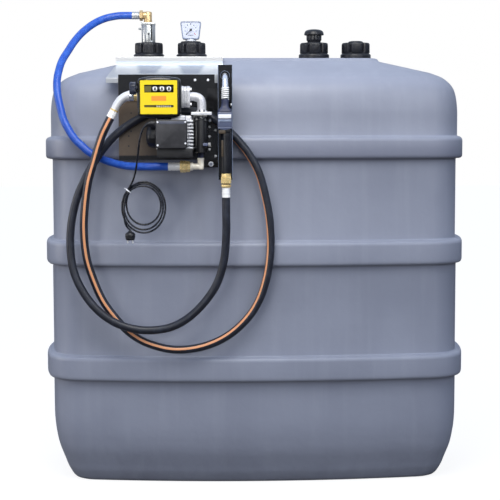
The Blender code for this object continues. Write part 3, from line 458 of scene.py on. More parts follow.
class Form:
    """A piece in the making: closed shapes, each with a finish of its own."""

    def __init__(self):
        self.mesh = bmesh.new()
        self.finishes = []

    def take(self, shape, finish):
        """Adds a finished shape."""
        bmesh.ops.recalc_face_normals(shape, faces=shape.faces)
        if finish not in self.finishes:
            self.finishes.append(finish)
        for face in shape.faces:
            face.material_index = self.finishes.index(finish)
        loose = bpy.data.meshes.new("loose")
        shape.to_mesh(loose)
        shape.free()
        self.mesh.from_mesh(loose)
        bpy.data.meshes.remove(loose)
        return self

    def skin(self, rings, finish, closed=False, stripe=None, stripe_sides=()):
        """Skins rings of equal counts, capped at both ends or joined into a loop."""
        shape = bmesh.new()
        loops = [[shape.verts.new(point) for point in ring] for ring in rings]
        pairs = list(zip(loops, loops[1:]))
        if closed:
            pairs.append((loops[-1], loops[0]))
        else:
            shape.faces.new(loops[0])
            shape.faces.new(loops[-1])
        striped = []
        for lower, upper in pairs:
            faces = wall(shape, lower, upper)
            striped += [faces[side] for side in stripe_sides]
        if stripe:
            self.finishes += [finish, stripe]
            bmesh.ops.recalc_face_normals(shape, faces=shape.faces)
            for face in striped:
                face.material_index = 1
            self.mesh.free()
            self.mesh = shape
            return self
        return self.take(shape, finish)

    def block(self, low, high, finish, bevel, rounds=2):
        """A box with rounded edges."""
        low, high = Vector(low), Vector(high)
        shape = bmesh.new()
        bmesh.ops.create_cube(shape, size=1.0)
        bmesh.ops.scale(shape, vec=high - low, verts=shape.verts)
        bmesh.ops.translate(shape, vec=(low + high) / 2, verts=shape.verts)
        round_off(shape, bevel, rounds)
        return self.take(shape, finish)

    def slab(self, outline, low, high, finish, bevel, axis="Y", rounds=2):
        """An outline drawn out along an axis, with rounded edges."""
        shape = bmesh.new()
        lower, upper = ([shape.verts.new(point) for point in laid(outline, at, axis)] for at in (low, high))
        shape.faces.new(lower)
        shape.faces.new(upper)
        wall(shape, lower, upper)
        bmesh.ops.recalc_face_normals(shape, faces=shape.faces)
        round_off(shape, bevel, rounds)
        return self.take(shape, finish)

    def turned(self, profile, start, direction, finish, sides, share=None, closed=False):
        """Circles of (radius, distance) along a direction. share gives each turn its part of the radius."""
        start = Vector(start)
        toward = BACK if abs(direction.dot(UP)) > 0.5 else UP
        first = (toward - direction * direction.dot(toward)).normalized()
        second = direction.cross(first)
        rings = []
        for radius, along in profile:
            ring = []
            for turn in round_the_clock(sides):
                reach = radius * (share(turn) if share else 1.0)
                ring.append(start + direction * along + reach * around(first, second, turn))
            rings.append(ring)
        return self.skin(rings, finish, closed)

    def rod(self, start, end, radius, finish, sides=32, edge=0.0006, share=None):
        """A round or six-sided bar with softened ends."""
        start, end = Vector(start), Vector(end)
        run = (end - start).length
        profile = ((radius - edge, 0), (radius, edge), (radius, run - edge), (radius - edge, run))
        return self.turned(profile, start, (end - start).normalized(), finish, sides, share)

    def pipe(self, points, radii, finish, sides):
        return self.skin(sweep([Vector(p) for p in points], radii, round_the_clock(sides)), finish)

    def screw(self, centre, radius, direction, finish):
        """A domed screw head with a socket."""
        high = radius * 0.6
        shares = ((1, 0.4), (0.86, 0.8), (0.55, 1), (0.45, 1), (0.42, 0.4))
        profile = [(radius, -0.0004), *[(radius * out, high * up) for out, up in shares]]
        return self.turned(profile, centre, direction, finish, 20)

    def zero(self, centre, wide, tall, stroke, finish, wheel=0.0):
        """A numeral 0 standing slightly proud, flat or laid round a number wheel."""
        rings = []
        for inset, proud in ((0, -0.0004), (0, 0.0003), (stroke, 0.0003), (stroke, -0.0004)):
            ring = []
            for turn in round_the_clock(28):
                across = (wide / 2 - inset) * math.copysign(abs(math.cos(turn)) ** 0.8, math.cos(turn))
                up = (tall / 2 - inset) * math.copysign(abs(math.sin(turn)) ** 0.8, math.sin(turn))
                out = proud
                if wheel:
                    out = (wheel + proud) * math.cos(up / wheel)
                    up = (wheel + proud) * math.sin(up / wheel)
                ring.append(Vector(centre) + Vector((across, -out, up)))
            rings.append(ring)
        return self.skin(rings, finish, closed=True)

    def pierced(self, outline, holes, low, high, finish):
        """A flat plate facing the front, with holes cut right through it."""
        shape = bmesh.new()
        near, far = (filled(shape, [laid(loop, at) for loop in (outline, *holes)]) for at in (low, high))
        for lower, upper in zip(near, far):
            wall(shape, lower, upper)
        return self.take(shape, finish)

    def node(self, name, finish, bevel=0.0, rounds=2):
        """The CAD solid itself, welded, with its edges rounded."""
        shape = bmesh.new()
        shape.from_mesh(frame["nodes"][name].data)
        bmesh.ops.remove_doubles(shape, verts=shape.verts, dist=0.00002)
        bmesh.ops.dissolve_limit(shape, angle_limit=0.02, verts=shape.verts, edges=shape.edges)
        if bevel:
            round_off(shape, bevel, rounds)
        return self.take(shape, finish)

    def made(self, name, slot, *stands_for, body="tank", smooth=35):
        """Turns the shapes into one piece that rides on a body and stands for CAD nodes."""
        mesh = bpy.data.meshes.new(name)
        self.mesh.to_mesh(mesh)
        self.mesh.free()
        for finish in self.finishes:
            mesh.materials.append(finish)
        mesh.shade_smooth()
        mesh.set_sharp_from_angle(angle=math.radians(smooth))
        piece = bpy.data.objects.new(name, mesh)
        bpy.context.scene.collection.objects.link(piece)
        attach(piece, body)
        if stands_for:
            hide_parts(*stands_for)
        return piece


def round_off(shape, width, rounds):
    """Bevels the edges of a closed shape that turn by more than 30 degrees."""
    if width:
        sharp = [edge for edge in shape.edges if edge.calc_face_angle(0.0) > 0.52]
        options = {"offset_type": "OFFSET", "affect": "EDGES", "profile": 0.5, "clamp_overlap": True}
        bmesh.ops.bevel(shape, geom=sharp, offset=width, segments=rounds, **options)


# Hoses and lead
FLOW_Y, FLOW_Z = -0.46, 1.4765
HOSE_RADIUS = 0.015
HOSE_STEP = 0.008
STRIPE_SHARE = 0.3
SUCTION_RADIUS = 0.0145
LEAD_RADIUS = 0.0035
OUTLET_END = Vector((-0.5225, FLOW_Y, 1.4305))
FERRULE_AIM = Vector((-0.455, 0.0, -0.89)).normalized()
DELIVERY_START = OUTLET_END + FERRULE_AIM * 0.0342
DELIVERY_ROUTE = (
    (-0.572, -0.453, 1.33), (-0.601, -0.442, 1.241), (-0.624, -0.437, 1.163), (-0.638, -0.43, 1.071),
    (-0.643, -0.422, 0.978), (-0.635, -0.414, 0.885), (-0.612, -0.408, 0.804), (-0.577, -0.405, 0.722),
    (-0.528, -0.404, 0.653), (-0.473, -0.406, 0.597), (-0.405, -0.409, 0.559), (-0.312, -0.411, 0.537),
    (-0.212, -0.411, 0.546), (-0.12, -0.41, 0.583), (-0.045, -0.409, 0.645), (0.005, -0.408, 0.719),
    (0.036, -0.406, 0.813), (0.049, -0.405, 0.912), (0.046, -0.405, 1.017), (0.03, -0.405, 1.11),
    (0.006, -0.405, 1.196), (-0.031, -0.405, 1.266), (-0.074, -0.405, 1.32), (-0.116, -0.4045, 1.361),
    (-0.164, -0.4045, 1.398), (-0.196, -0.4045, 1.414), (-0.237, -0.4045, 1.425),
    (-0.285, -0.4045, 1.428), (-0.335, -0.4045, 1.4282), (-0.378, -0.4045, 1.4238),
    (-0.41, -0.4045, 1.41), (-0.44, -0.4045, 1.396), (-0.484, -0.4045, 1.369), (-0.527, -0.4045, 1.335),
    (-0.564, -0.4045, 1.294), (-0.6, -0.4045, 1.243), (-0.639, -0.4045, 1.174), (-0.67, -0.4045, 1.1),
    (-0.69, -0.405, 1.014), (-0.695, -0.408, 0.928), (-0.685, -0.415, 0.842), (-0.654, -0.425, 0.768),
    (-0.605, -0.435, 0.701), (-0.544, -0.44, 0.652), (-0.476, -0.442, 0.624), (-0.403, -0.443, 0.615),
    (-0.323, -0.445, 0.627), (-0.255, -0.447, 0.664), (-0.193, -0.45, 0.726), (-0.15, -0.454, 0.794),
    (-0.125, -0.46, 0.88), (-0.117, -0.467, 0.979), (-0.117, -0.47, 1.045), (-0.117, -0.47, 1.1082),
)
SUCTION_Z = 1.2222
TOP_ELBOW_Z = 1.8095
SUCTION_ROUTE = (
    (-0.329, FLOW_Y, SUCTION_Z), (-0.36, FLOW_Y, SUCTION_Z), (-0.397, -0.457, 1.222),
    (-0.44, -0.442, 1.222), (-0.48, -0.418, 1.2235), (-0.525, -0.388, 1.232), (-0.577, -0.37, 1.249),
    (-0.623, -0.366, 1.273), (-0.65, -0.363, 1.296), (-0.679, -0.358, 1.324), (-0.703, -0.35, 1.36),
    (-0.721, -0.341, 1.396), (-0.732, -0.332, 1.434), (-0.742, -0.32, 1.474), (-0.748, -0.306, 1.511),
    (-0.749, -0.288, 1.546), (-0.745, -0.262, 1.581), (-0.736, -0.226, 1.62), (-0.717, -0.178, 1.661),
    (-0.698, -0.132, 1.699), (-0.67, -0.085, 1.738), (-0.631, -0.04, 1.774), (-0.588, -0.012, 1.797),
    (-0.54, -0.001, 1.808), (-0.505, 0.0, TOP_ELBOW_Z), (-0.4828, 0.0, TOP_ELBOW_Z),
)
LEAD_START = (-0.3899, -0.548, 1.3765)
LEAD_ROUTE = (
    LEAD_START, (-0.396, -0.548, 1.3765), (-0.406, -0.548, 1.372), (-0.415, -0.547, 1.36),
    (-0.423, -0.545, 1.34), (-0.429, -0.54, 1.315), (-0.433, -0.53, 1.288), (-0.438, -0.516, 1.253),
    (-0.443, -0.502, 1.22), (-0.451, -0.489, 1.188), (-0.4605, -0.4825, 1.164),
    (-0.4695, -0.479, 1.149),
)
TIE = Vector((-0.4733, -0.474, 1.1338))
STRAND_AIM = Vector((0.64, 0.0, 0.768))
STRAND_OUT = Vector((-0.768, 0.0, 0.64))
STRANDS = ((0.005, -0.0035), (0.003, 0.004), (-0.0042, 0.003), (-0.0025, -0.0045))
COIL_TURNS = (
    (-0.4186, 1.0739, 0.079, 0.093), (-0.4196, 1.0762, 0.0715, 0.0845),
    (-0.4184, 1.0808, 0.0625, 0.0705),
)
PLUG_X = -0.469
LEAD_TAIL = (
    (-0.4845, -0.4805, 1.108), (-0.4895, -0.4825, 1.078), (-0.4905, -0.483, 1.05),
    (-0.488, -0.4825, 1.025), (-0.483, -0.48, 1.008), (-0.476, -0.4762, 0.9975),
    (-0.4705, -0.4743, 0.993), (PLUG_X, -0.474, 0.9883),
)
STRIPE_TURNS = (
    (0.0, 2), (0.03, 6), (0.08, 0), (0.13, -5), (0.17, -8), (0.25, -17), (0.3, -31), (0.33, -40),
    (0.37, -46), (0.39, -49), (0.418, -62), (0.44, -66), (0.48, -69), (0.5, -72), (0.53, -100),
    (0.6, -180), (1.0, -180),
)


def delivery_hose():
    """Black hose with an orange line that turns out of sight in the second loop."""
    start = DELIVERY_START
    path = smooth_route([start, start + FERRULE_AIM * 0.03, *DELIVERY_ROUTE], HOSE_STEP)
    half = math.asin(STRIPE_SHARE)
    rest = [half + (2 * math.pi - 2 * half) * step / 17 for step in range(1, 17)]
    twist = []
    for number in range(len(path)):
        share = number / (len(path) - 1)
        spans = zip(STRIPE_TURNS, STRIPE_TURNS[1:])
        (low, low_turn), (high, high_turn) = next(pair for pair in spans if share <= pair[1][0])
        twist.append(math.radians(low_turn + (high_turn - low_turn) * (share - low) / (high - low)))
    rings = sweep(path, HOSE_RADIUS, [-half, 0.0, half, *rest], True, twist)
    form = Form().skin(rings, BLACK_HOSE, stripe=STRIPE, stripe_sides=(0, 1))
    hose = form.made("striped_hose", "black_rubber", "delivery_hose")
    length_of(path)


def suction_hose():
    """Blue hose from the pump, round the tank's shoulder and up to the riser."""
    path = smooth_route(SUCTION_ROUTE, HOSE_STEP)
    form = Form().skin(sweep(path, SUCTION_RADIUS, round_the_clock(24), True), BLUE_HOSE)
    hose = form.made("blue_hose", "blue_rubber", "suction_hose")
    length_of(path)


def coil_points():
    """Three turns through the tie, each a little tighter than the one before."""
    places = [TIE + STRAND_OUT * out + BACK * back for out, back in STRANDS]
    points = []
    for number, (middle_x, middle_z, wide, tall) in enumerate(COIL_TURNS):
        start, end = places[number], places[number + 1]
        begin = math.atan2((TIE.z - middle_z) / tall, (TIE.x - middle_x) / wide)
        touch = Vector((middle_x + wide * math.cos(begin), 0, middle_z + tall * math.sin(begin)))
        for step in range(20):
            t = step / 20
            turn = begin + 2 * math.pi * t
            here = Vector((middle_x + wide * math.cos(turn), 0, middle_z + tall * math.sin(turn)))
            leaving = max(0.0, 1 - t / 0.2) ** 2
            coming = max(0.0, 1 - (1 - t) / 0.2) ** 2
            here += leaving * (start - touch) + coming * (end - touch)
            here.y = start.y + (end.y - start.y) * t
            points.append(here)
    return [*points, places[-1]]


def pump_lead():
    """The pump's lead: down from its gland, tied into three turns, and into its plug."""
    path = smooth_route([*LEAD_ROUTE, *coil_points(), *LEAD_TAIL], 0.003)
    form = Form().skin(sweep(path, LEAD_RADIUS, round_the_clock(12)), LEAD)
    lead = form.made("coiled_lead", "black_rubber", "pump_lead", "lead_coil")
    band = []
    for turn in round_the_clock(28):
        out = STRAND_OUT * math.cos(turn) * 0.0105 + BACK * math.sin(turn) * 0.0092
        middle = TIE + out + STRAND_OUT * 0.0004
        thick, wide = out.normalized() * 0.0005, STRAND_AIM * 0.0022
        band.append([middle + part for part in (thick + wide, thick - wide, -thick - wide, -thick + wide)])
    tie = Form().skin(band, FIGURE, closed=True)
    knot = TIE + STRAND_OUT * 0.0112 + FRONT * 0.001
    tie.rod(knot, knot + Vector((-0.007, -0.0022, 0.0035)), 0.0017, FIGURE, 10)
    tie = tie.made("lead_tie", "white_plastic")
    body = (
        (0.0044, 0.9879), (0.0062, 0.9872), (0.007, 0.985), (0.011, 0.9832), (0.0155, 0.9802),
        (0.0182, 0.9762), (0.019, 0.9718), (0.0178, 0.9706), (0.0178, 0.9694), (0.019, 0.9682),
        (0.0186, 0.965), (0.0174, 0.964), (0.0174, 0.9628), (0.018, 0.9616), (0.0165, 0.957),
        (0.014, 0.9535),
    )
    plug = Form().turned(body, (PLUG_X, TIE.y, 0), UP, CAP, 36)
    for side in (-0.0095, 0.0095):
        pin = (PLUG_X + side, TIE.y, 0.954)
        plug.rod(pin, (PLUG_X + side, TIE.y, 0.942), 0.0024, PLATED, 16)
    plug = plug.made("mains_plug", "black_plastic", "lead_plug")
    length_of(path)


delivery_hose()
suction_hose()
pump_lead()


# Tank
FRONT_SWEEP, END_SWEEP = math.radians(8.4), math.radians(14.0)
BANDS = ((0.406, 0.094, 0.03), (0.844, 0.094, 0.0275), (1.247, 0.085, 0.0255))
SWELL = (0.0055, 0.0045, 0.0, 0.0045)
WALL_HALF_LENGTH, WALL_HALF_DEPTH, WALL_CORNER = 0.798, 0.358, 0.125
DECK_HALF_LENGTH, DECK_HALF_DEPTH, DECK_CORNER = 0.484, 0.14, 0.04
DECK_FOOT, DECK_TOP = 1.6205, 1.6355


def plan(half_length, half_depth, corner, front_sweep=FRONT_SWEEP, end_sweep=END_SWEEP, steps=(12, 14, 6)):
    """Outline with bulged sides and ends that run smoothly into round corners."""
    lean = math.tan(end_sweep / 2)
    reach = (half_length - corner - lean * (half_depth - corner)) / (
        math.sin(front_sweep) - lean * (1 - math.cos(front_sweep))
    )
    front_radius = reach + corner
    corner_x = reach * math.sin(front_sweep)
    corner_y = corner - half_depth + reach * (1 - math.cos(front_sweep))
    end_radius = corner - corner_y / math.sin(end_sweep)
    quarter = []
    for step in range(steps[0]):
        turn = front_sweep * step / steps[0]
        quarter.append((front_radius * math.sin(turn), front_radius * (1 - math.cos(turn)) - half_depth))
    for step in range(steps[1]):
        turn = front_sweep + (math.pi / 2 - end_sweep - front_sweep) * step / steps[1]
        quarter.append((corner_x + corner * math.sin(turn), corner_y - corner * math.cos(turn)))
    for step in range(steps[2]):
        turn = end_sweep * (1 - step / steps[2])
        quarter.append((half_length - end_radius * (1 - math.cos(turn)), -end_radius * math.sin(turn)))
    right = [*quarter, (half_length, 0.0), *[(x, -y) for x, y in reversed(quarter)]]
    return right + [(-x, y) for x, y in reversed(right[1:-1])]


def tank_ring(inset, height):
    """The tank's outline drawn in by inset, and out where it is negative."""
    corner = WALL_CORNER - inset * (1.0 if inset < 0 else 0.4)
    outline = plan(WALL_HALF_LENGTH - inset, WALL_HALF_DEPTH - inset, corner)
    return [Vector((x, y, height)) for x, y in outline]


def deck_ring(margin, height):
    """The raised deck's outline, which is flatter than the tank's."""
    sweeps = math.radians(1.5), math.radians(2.5)
    outline = plan(DECK_HALF_LENGTH + margin, DECK_HALF_DEPTH + margin, DECK_CORNER, *sweeps)
    return [Vector((x, y, height)) for x, y in outline]


def tank():
    """One skin from the dished foot over the three bands and the shoulder to the raised deck."""
    foot = (
        (0.13, 0), (0.077, 0), (0.064, 0.006), (0.054, 0.02), (0.041, 0.045), (0.032, 0.07),
        (0.0225, 0.095), (0.0135, 0.12), (0.007, 0.144), (0.002, 0.172), (-0.002, 0.2),
        (-0.005, 0.245), (-0.0055, 0.33),
    )
    rows = [(inset, max(0.0, height)) for inset, height in curve(foot, 4)]
    for (start, height, proud), below, above in zip(BANDS, SWELL, SWELL[1:]):
        rows += [(-below, start - 0.006), (-below - 0.0012, start - 0.0008), (-below - 0.0045, start)]
        lip = ((0.011, 0), (0.0055, 0.0016), (0.0018, 0.0052), (0.0002, 0.0105), (0, 0.018))
        rows += [(inset - proud, start + up) for inset, up in lip]
        crest = ((0, -0.0195), (0.0007, -0.0138), (0.0028, -0.0086), (0.0062, -0.0048), (0.0105, -0.0026))
        rows += [(inset - proud, start + height + up) for inset, up in crest]
        rows += [(-above - 0.009, start + height - 0.0014), (-above - 0.003, start + height - 0.0004)]
        rows += [(-above - 0.0008, start + height + 0.0012), (-above, start + height + 0.0045)]
    shoulder = ((-0.0045, 1.4), (-0.004, 1.43), (-0.001, 1.463), (0.004, 1.491), (0.012, 1.514))
    shoulder += ((0.027, 1.535), (0.055, 1.557), (0.1, 1.576))
    rows += curve(shoulder, 5)
    rings = [tank_ring(inset, height) for inset, height in rows]
    eave, brink = rings[-1], deck_ring(0.011, DECK_FOOT - 0.0005)
    for share in (0.02, 0.06, 0.15, 0.3, 0.5, 0.7, 0.85, 0.94, 0.98, 1.0):
        rings.append([low.lerp(high, share) for low, high in zip(eave, brink)])
    for margin, height in ((0.006, -0.013), (0.003, -0.01), (0.0005, -0.006), (-0.003, -0.0028)):
        rings.append(deck_ring(margin, DECK_TOP + height))
    rings += [deck_ring(-0.009, DECK_TOP - 0.0008), deck_ring(-0.018, DECK_TOP), deck_ring(-0.036, DECK_TOP)]
    nodes = ("tank_floor_pan", "tank_wall", "tank_roof", "band_lower", "band_middle", "band_upper")
    Form().skin(rings, TANK).made("tank_skin", "tank_plastic", *nodes, smooth=70)


tank()


# Caps and what stands on them
CAP_PLACES = (-0.4165, -0.247, 0.24, 0.4065)
NECK_FOOT = 1.6345


def lobed(turn):
    """Share of the radius on a cap's side: six broad lobes, finely ribbed."""
    return 1 - 0.2 * max(0.0, -math.cos(6 * turn)) ** 6 - 0.006 * math.cos(90 * turn)


def caps():
    """Four lobed caps with raised middles, each on a ring that flares to a flange."""
    flange = (
        (0.056, 0), (0.0598, 0.0004), (0.0605, 0.002), (0.0605, 0.018), (0.06, 0.0198),
        (0.0575, 0.0222), (0.0548, 0.0238), (0.053, 0.0242), (0.0522, 0.0262),
    )
    side = (
        (0.0515, 1.6598), (0.055, 1.6602), (0.056, 1.6618), (0.0557, 1.692), (0.055, 1.6975),
        (0.0525, 1.7006), (0.0465, 1.7012),
    )
    crown = (
        (0.05, 1.693), (0.047, 1.701), (0.036, 1.7014), (0.032, 1.7022), (0.0295, 1.7036),
        (0.025, 1.7042),
    )
    for number, x in enumerate(CAP_PLACES, 1):
        Form().turned(flange, (x, 0, NECK_FOOT), UP, CAP, 64).made(f"neck_ring_{number}", "black_plastic")
        form = Form().turned(side, (x, 0, 0), UP, CAP, 360, lobed)
        form.turned(crown if number < 4 else crown[:4], (x, 0, 0), UP, CAP, 64)
        form.made(f"cap_top_{number}", "black_plastic", f"cap_{number}")
    dome = (
        (0.03, 1.699), (0.0296, 1.7038), (0.0282, 1.7062), (0.025, 1.7078), (0.02, 1.7086),
        (0.019, 1.708),
    )
    button = Form().turned(dome, (CAP_PLACES[3], 0, 0), UP, CAP, 48)
    button.made("plug_button", "black_plastic", "cap_button")


def vent():
    """Mushroom vent on the third cap: a ribbed stem under an umbrella hood."""
    stem = ((0.0255, 1.7), (0.0265, 1.708), (0.03, 1.7125), (0.0302, 1.7312), (0.029, 1.7342))
    hood = (
        (0.027, 1.7322), (0.038, 1.7324), (0.039, 1.7334), (0.0386, 1.7382), (0.0372, 1.7432),
        (0.0345, 1.7478), (0.03, 1.7512), (0.0225, 1.7536), (0.012, 1.755),
    )
    place = (CAP_PLACES[2], 0, 0)
    form = Form().turned(stem, place, UP, CAP, 96, ribbed(12, 0.07)).turned(hood, place, UP, CAP, 56)
    form.made("vent_hood", "black_plastic", "vent")


RISER_X = -0.418


def riser():
    """Zinc sleeve with a slot, its collar, clamp strip and screw, and the pipe inside."""
    sleeve = Form().node("riser_sleeve", GALVANISED, 0.0006)
    bore = 0.0242
    collar = ((0.0272, 1.7702), (0.0282, 1.7712), (0.0282, 1.7768), (0.0272, 1.7778))
    foot = ((0.033, 1.6982), (0.0335, 1.7), (0.029, 1.703), (0.0272, 1.7034))
    for ring in (((bore, 1.77), *collar, (bore, 1.778)), ((bore, 1.698), *foot, (bore, 1.7036))):
        sleeve.turned(ring, (RISER_X, 0, 0), UP, GALVANISED, 48, closed=True)
    sleeve.made("sleeve_tube", "zinc", "riser_sleeve")
    low, high = (RISER_X - 0.0285, -0.03, 1.772), (RISER_X + 0.027, -0.0275, 1.78)
    strip = Form().block(low, high, GALVANISED, 0.0006)
    strip.screw((RISER_X - 0.0195, -0.03, 1.776), 0.0032, FRONT, GALVANISED)
    start, end = (RISER_X - 0.025, -0.01, 1.756), (RISER_X - 0.0375, -0.016, 1.756)
    strip.rod(start, end, 0.0042, GALVANISED, 24, share=hexagon)
    # Painted shade: a small black disc on the sleeve's front stands for its hole.
    shaded_hole = ((0.003, 0), (0.0033, 0.0006), (0.0033, 0.0012))
    strip.turned(shaded_hole, (RISER_X + 0.002, -0.0272, 1.736), FRONT, BLACK, 20)
    strip.made("clamp_strip", "zinc")
    pipe = Form().rod((RISER_X, 0, 1.6983), (RISER_X, 0, 1.78), 0.0165, GALVANISED)
    pipe.made("inner_pipe", "zinc", "riser_pipe")


def riser_elbow():
    """Brass elbow on the pipe, with its nut and the blue hose's ferrule."""
    middle = RISER_X - 0.0015
    arm = ((0.015, 1.7803), (0.0158, 1.7812), (0.0158, 1.818), (0.0145, 1.8225), (0.011, 1.8246))
    elbow = Form().turned(arm, (middle, 0, 0), UP, TAN_BRASS, 40)
    start, end = (middle + 0.0095, 0, TOP_ELBOW_Z), (middle - 0.02, 0, TOP_ELBOW_Z)
    elbow.rod(start, end, 0.0152, TAN_BRASS, 40, 0.002)
    lip = ((0.015, 1.7801), (0.0164, 1.7804), (0.0164, 1.79), (0.015, 1.7906))
    elbow.turned(lip, (middle, 0, 0), UP, TAN_BRASS, 36)
    start, end = (RISER_X - 0.0215, 0, TOP_ELBOW_Z), (-0.452, 0, TOP_ELBOW_Z)
    elbow.rod(start, end, 0.0208, TAN_BRASS, 36, share=hexagon)
    elbow.made("riser_bend", "brass", "riser_elbow")
    crimped((-0.4523, 0, TOP_ELBOW_Z), LEFT, 0.0302, 0.015, "riser_crimp", "riser_ferrule", GALVANISED)


def crimped(start, aim, length, radius, name, node, finish=PLATED):
    """A ferrule with a lip and two shallow crimp grooves."""
    lip = radius * 0.98
    profile = [(radius * 0.9, 0), (lip, 0.0008), (lip, length * 0.12), (radius * 0.93, length * 0.16)]
    for share in (0.3, 0.62):
        at, step = length * share, length * 0.05
        profile += [(radius, at - step), (radius, at), (radius * 0.955, at + step)]
        profile += [(radius * 0.955, at + 2 * step), (radius, at + 3 * step)]
    profile += [(radius, length - 0.0008), (radius * 0.95, length)]
    Form().turned(profile, start, aim, finish, 40).made(name, "zinc", node)


GAUGE_X, DIAL_FRONT, HUB_Z = -0.25, -0.02, 1.752


def gauge():
    """Contents gauge: tapered case with a rim, ticked dial, red mark, neck and pin."""
    x = GAUGE_X
    foot, head = ((0.0335, 1.719), (0.029, 1.7152)), ((0.041, 1.777), (0.0395, 1.7832), (0.033, 1.7855))
    outline = [(x - a, z) for a, z in foot] + [(x + a, z) for a, z in (*reversed(foot), *head)]
    outline += [(x - a, z) for a, z in reversed(head)]
    case = Form().slab(outline, 0.018, -0.017, RIM, 0.003, rounds=3)
    middle = Vector((x, 0, HUB_Z))

    def shrunk(share):
        return [middle + share * (Vector((a, 0, z)) - middle) for a, z in outline]

    levels = ((1, -0.0165), (1, -0.0196), (0.985, DIAL_FRONT), (0.9, DIAL_FRONT))
    levels += ((0.885, -0.019), (0.885, -0.0165))
    case.skin([[point + BACK * y for point in shrunk(share)] for share, y in levels], RIM, closed=True)
    case.slab([(point.x, point.z) for point in shrunk(0.895)], -0.016, -0.0182, DIAL, 0.0)
    spaces = 8
    for step in range(spaces + 1):
        turn = math.radians(225 - 270 * step / spaces)
        aim = Vector((math.cos(turn), 0, math.sin(turn)))
        side = Vector((aim.z, 0, -aim.x)) * (0.0009 if step % 4 else 0.0014)
        start, end = middle + aim * 0.0195, middle + aim * (0.0245 if step % 4 else 0.0265)
        corners = (start + side, start - side, end - side, end + side)
        tick = [[corner + BACK * y for corner in corners] for y in (-0.018, -0.0186)]
        case.skin(tick, RED if step == spaces else INK)
    case.block((x - 0.011, -0.0186, 1.73), (x + 0.011, -0.018, 1.732), INK, 0.0)
    case.turned(((0.002, 0), (0.002, 0.0055)), (x, -0.017, HUB_Z), FRONT, PLATED, 16)
    ring = ((0.0385, 1.6985), (0.04, 1.6995), (0.04, 1.7052), (0.0382, 1.707), (0.024, 1.7072))
    case.turned(ring, (x, 0, 0), UP, CAP, 64, ribbed(30, 0.02))
    case.turned(((0.0215, 1.704), (0.0215, 1.712), (0.02, 1.7165)), (x, 0, 0), UP, WHITE, 40)
    case.made("gauge_housing", "white_plastic", "gauge_case")


def gauge_hand():
    """The needle with its hub, which turns with its body."""
    x = GAUGE_X
    hub = ((0.0045, 0), (0.0045, 0.0012), (0.0036, 0.0018))
    hand = Form().turned(hub, (x, DIAL_FRONT - 0.0022, HUB_Z), FRONT, BLACK, 24)
    tail = Vector((x + 0.005, DIAL_FRONT - 0.0032, HUB_Z + 0.005))
    reach = Vector((x - 0.0165, DIAL_FRONT - 0.0032, HUB_Z - 0.0165)) - tail
    hand.turned(((0.0012, 0), (0.001, 0.007), (0.0006, reach.length)), tail, reach.normalized(), BLACK, 10)
    hand.made("gauge_hand", "black_enamel", "gauge_needle", body="needle")


caps()
vent()
riser()
riser_elbow()
gauge()
gauge_hand()


# Bracket and plate
BRACKET_LEFT, BRACKET_RIGHT = -0.536, -0.125
LIP_LEFT, LIP_RIGHT = -0.5584, -0.141
PLATE_FRONT = -0.389
SHEET_TOP, SHEET_THICK = 1.6366, 0.002
NECK_HOLE = 0.0615


def bracket():
    """Bent zinc sheet, holed for two necks: over the deck's edge, out and down to the plate."""
    shape = bmesh.new()
    back, brow = 0.078, -0.178
    loops = [[(BRACKET_LEFT, back), (BRACKET_LEFT, brow), (BRACKET_RIGHT, brow), (BRACKET_RIGHT, back)]]
    for x in CAP_PLACES[:2]:
        loops.append([(x + NECK_HOLE * math.cos(t), NECK_HOLE * math.sin(t)) for t in round_the_clock(40)])
    rim = filled(shape, [laid(loop, SHEET_TOP, "Z") for loop in loops])[0]
    fold = [
        (-0.181, 1.6366, 0.0), (-0.1818, 1.6363, 0.0), (-0.182, 1.6356, 0.0), (-0.182, 1.635, 0.0),
        (-0.182, 1.609, 0.0), (-0.182, 1.608, 0.0), (-0.1828, 1.6052, 0.01), (-0.1852, 1.6036, 0.02),
        (-0.1876, 1.6029, 0.03), (-0.28, 1.5771, 0.48), (-0.378, 1.5497, 0.96), (-0.3805, 1.549, 0.97),
        (-0.3836, 1.5474, 0.99), (-0.3845, 1.5446, 1.0), (-0.3845, 1.5436, 1.0), (-0.3845, 1.53, 1.0),
    ]
    row = [rim[1], rim[2]]
    for y, z, share in fold:
        left = BRACKET_LEFT + (LIP_LEFT - BRACKET_LEFT) * share
        right = BRACKET_RIGHT + (LIP_RIGHT - BRACKET_RIGHT) * share
        after = [shape.verts.new((left, y, z)), shape.verts.new((right, y, z))]
        shape.faces.new((row[0], row[1], after[1], after[0]))
        row = after
    bmesh.ops.recalc_face_normals(shape, faces=shape.faces)
    mesh = bpy.data.meshes.new("loose")
    shape.to_mesh(mesh)
    shape.free()
    loose = bpy.data.objects.new("loose", mesh)
    bpy.context.scene.collection.objects.link(loose)
    skin = loose.modifiers.new("sheet", "SOLIDIFY")
    skin.thickness = SHEET_THICK
    skin.offset = 0.0
    skin.use_even_offset = True
    solid = bpy.data.meshes.new_from_object(loose.evaluated_get(bpy.context.evaluated_depsgraph_get()))
    bpy.data.objects.remove(loose)
    thick = bmesh.new()
    thick.from_mesh(solid)
    bpy.data.meshes.remove(solid)
    form = Form().take(thick, ZINC)
    for x in (BRACKET_LEFT + 0.016, BRACKET_RIGHT - 0.016):
        form.screw((x, -0.15, SHEET_TOP + 0.001), 0.0055, UP, PLATED)
    form.made("bracket_sheet", "zinc", "bracket", smooth=40)


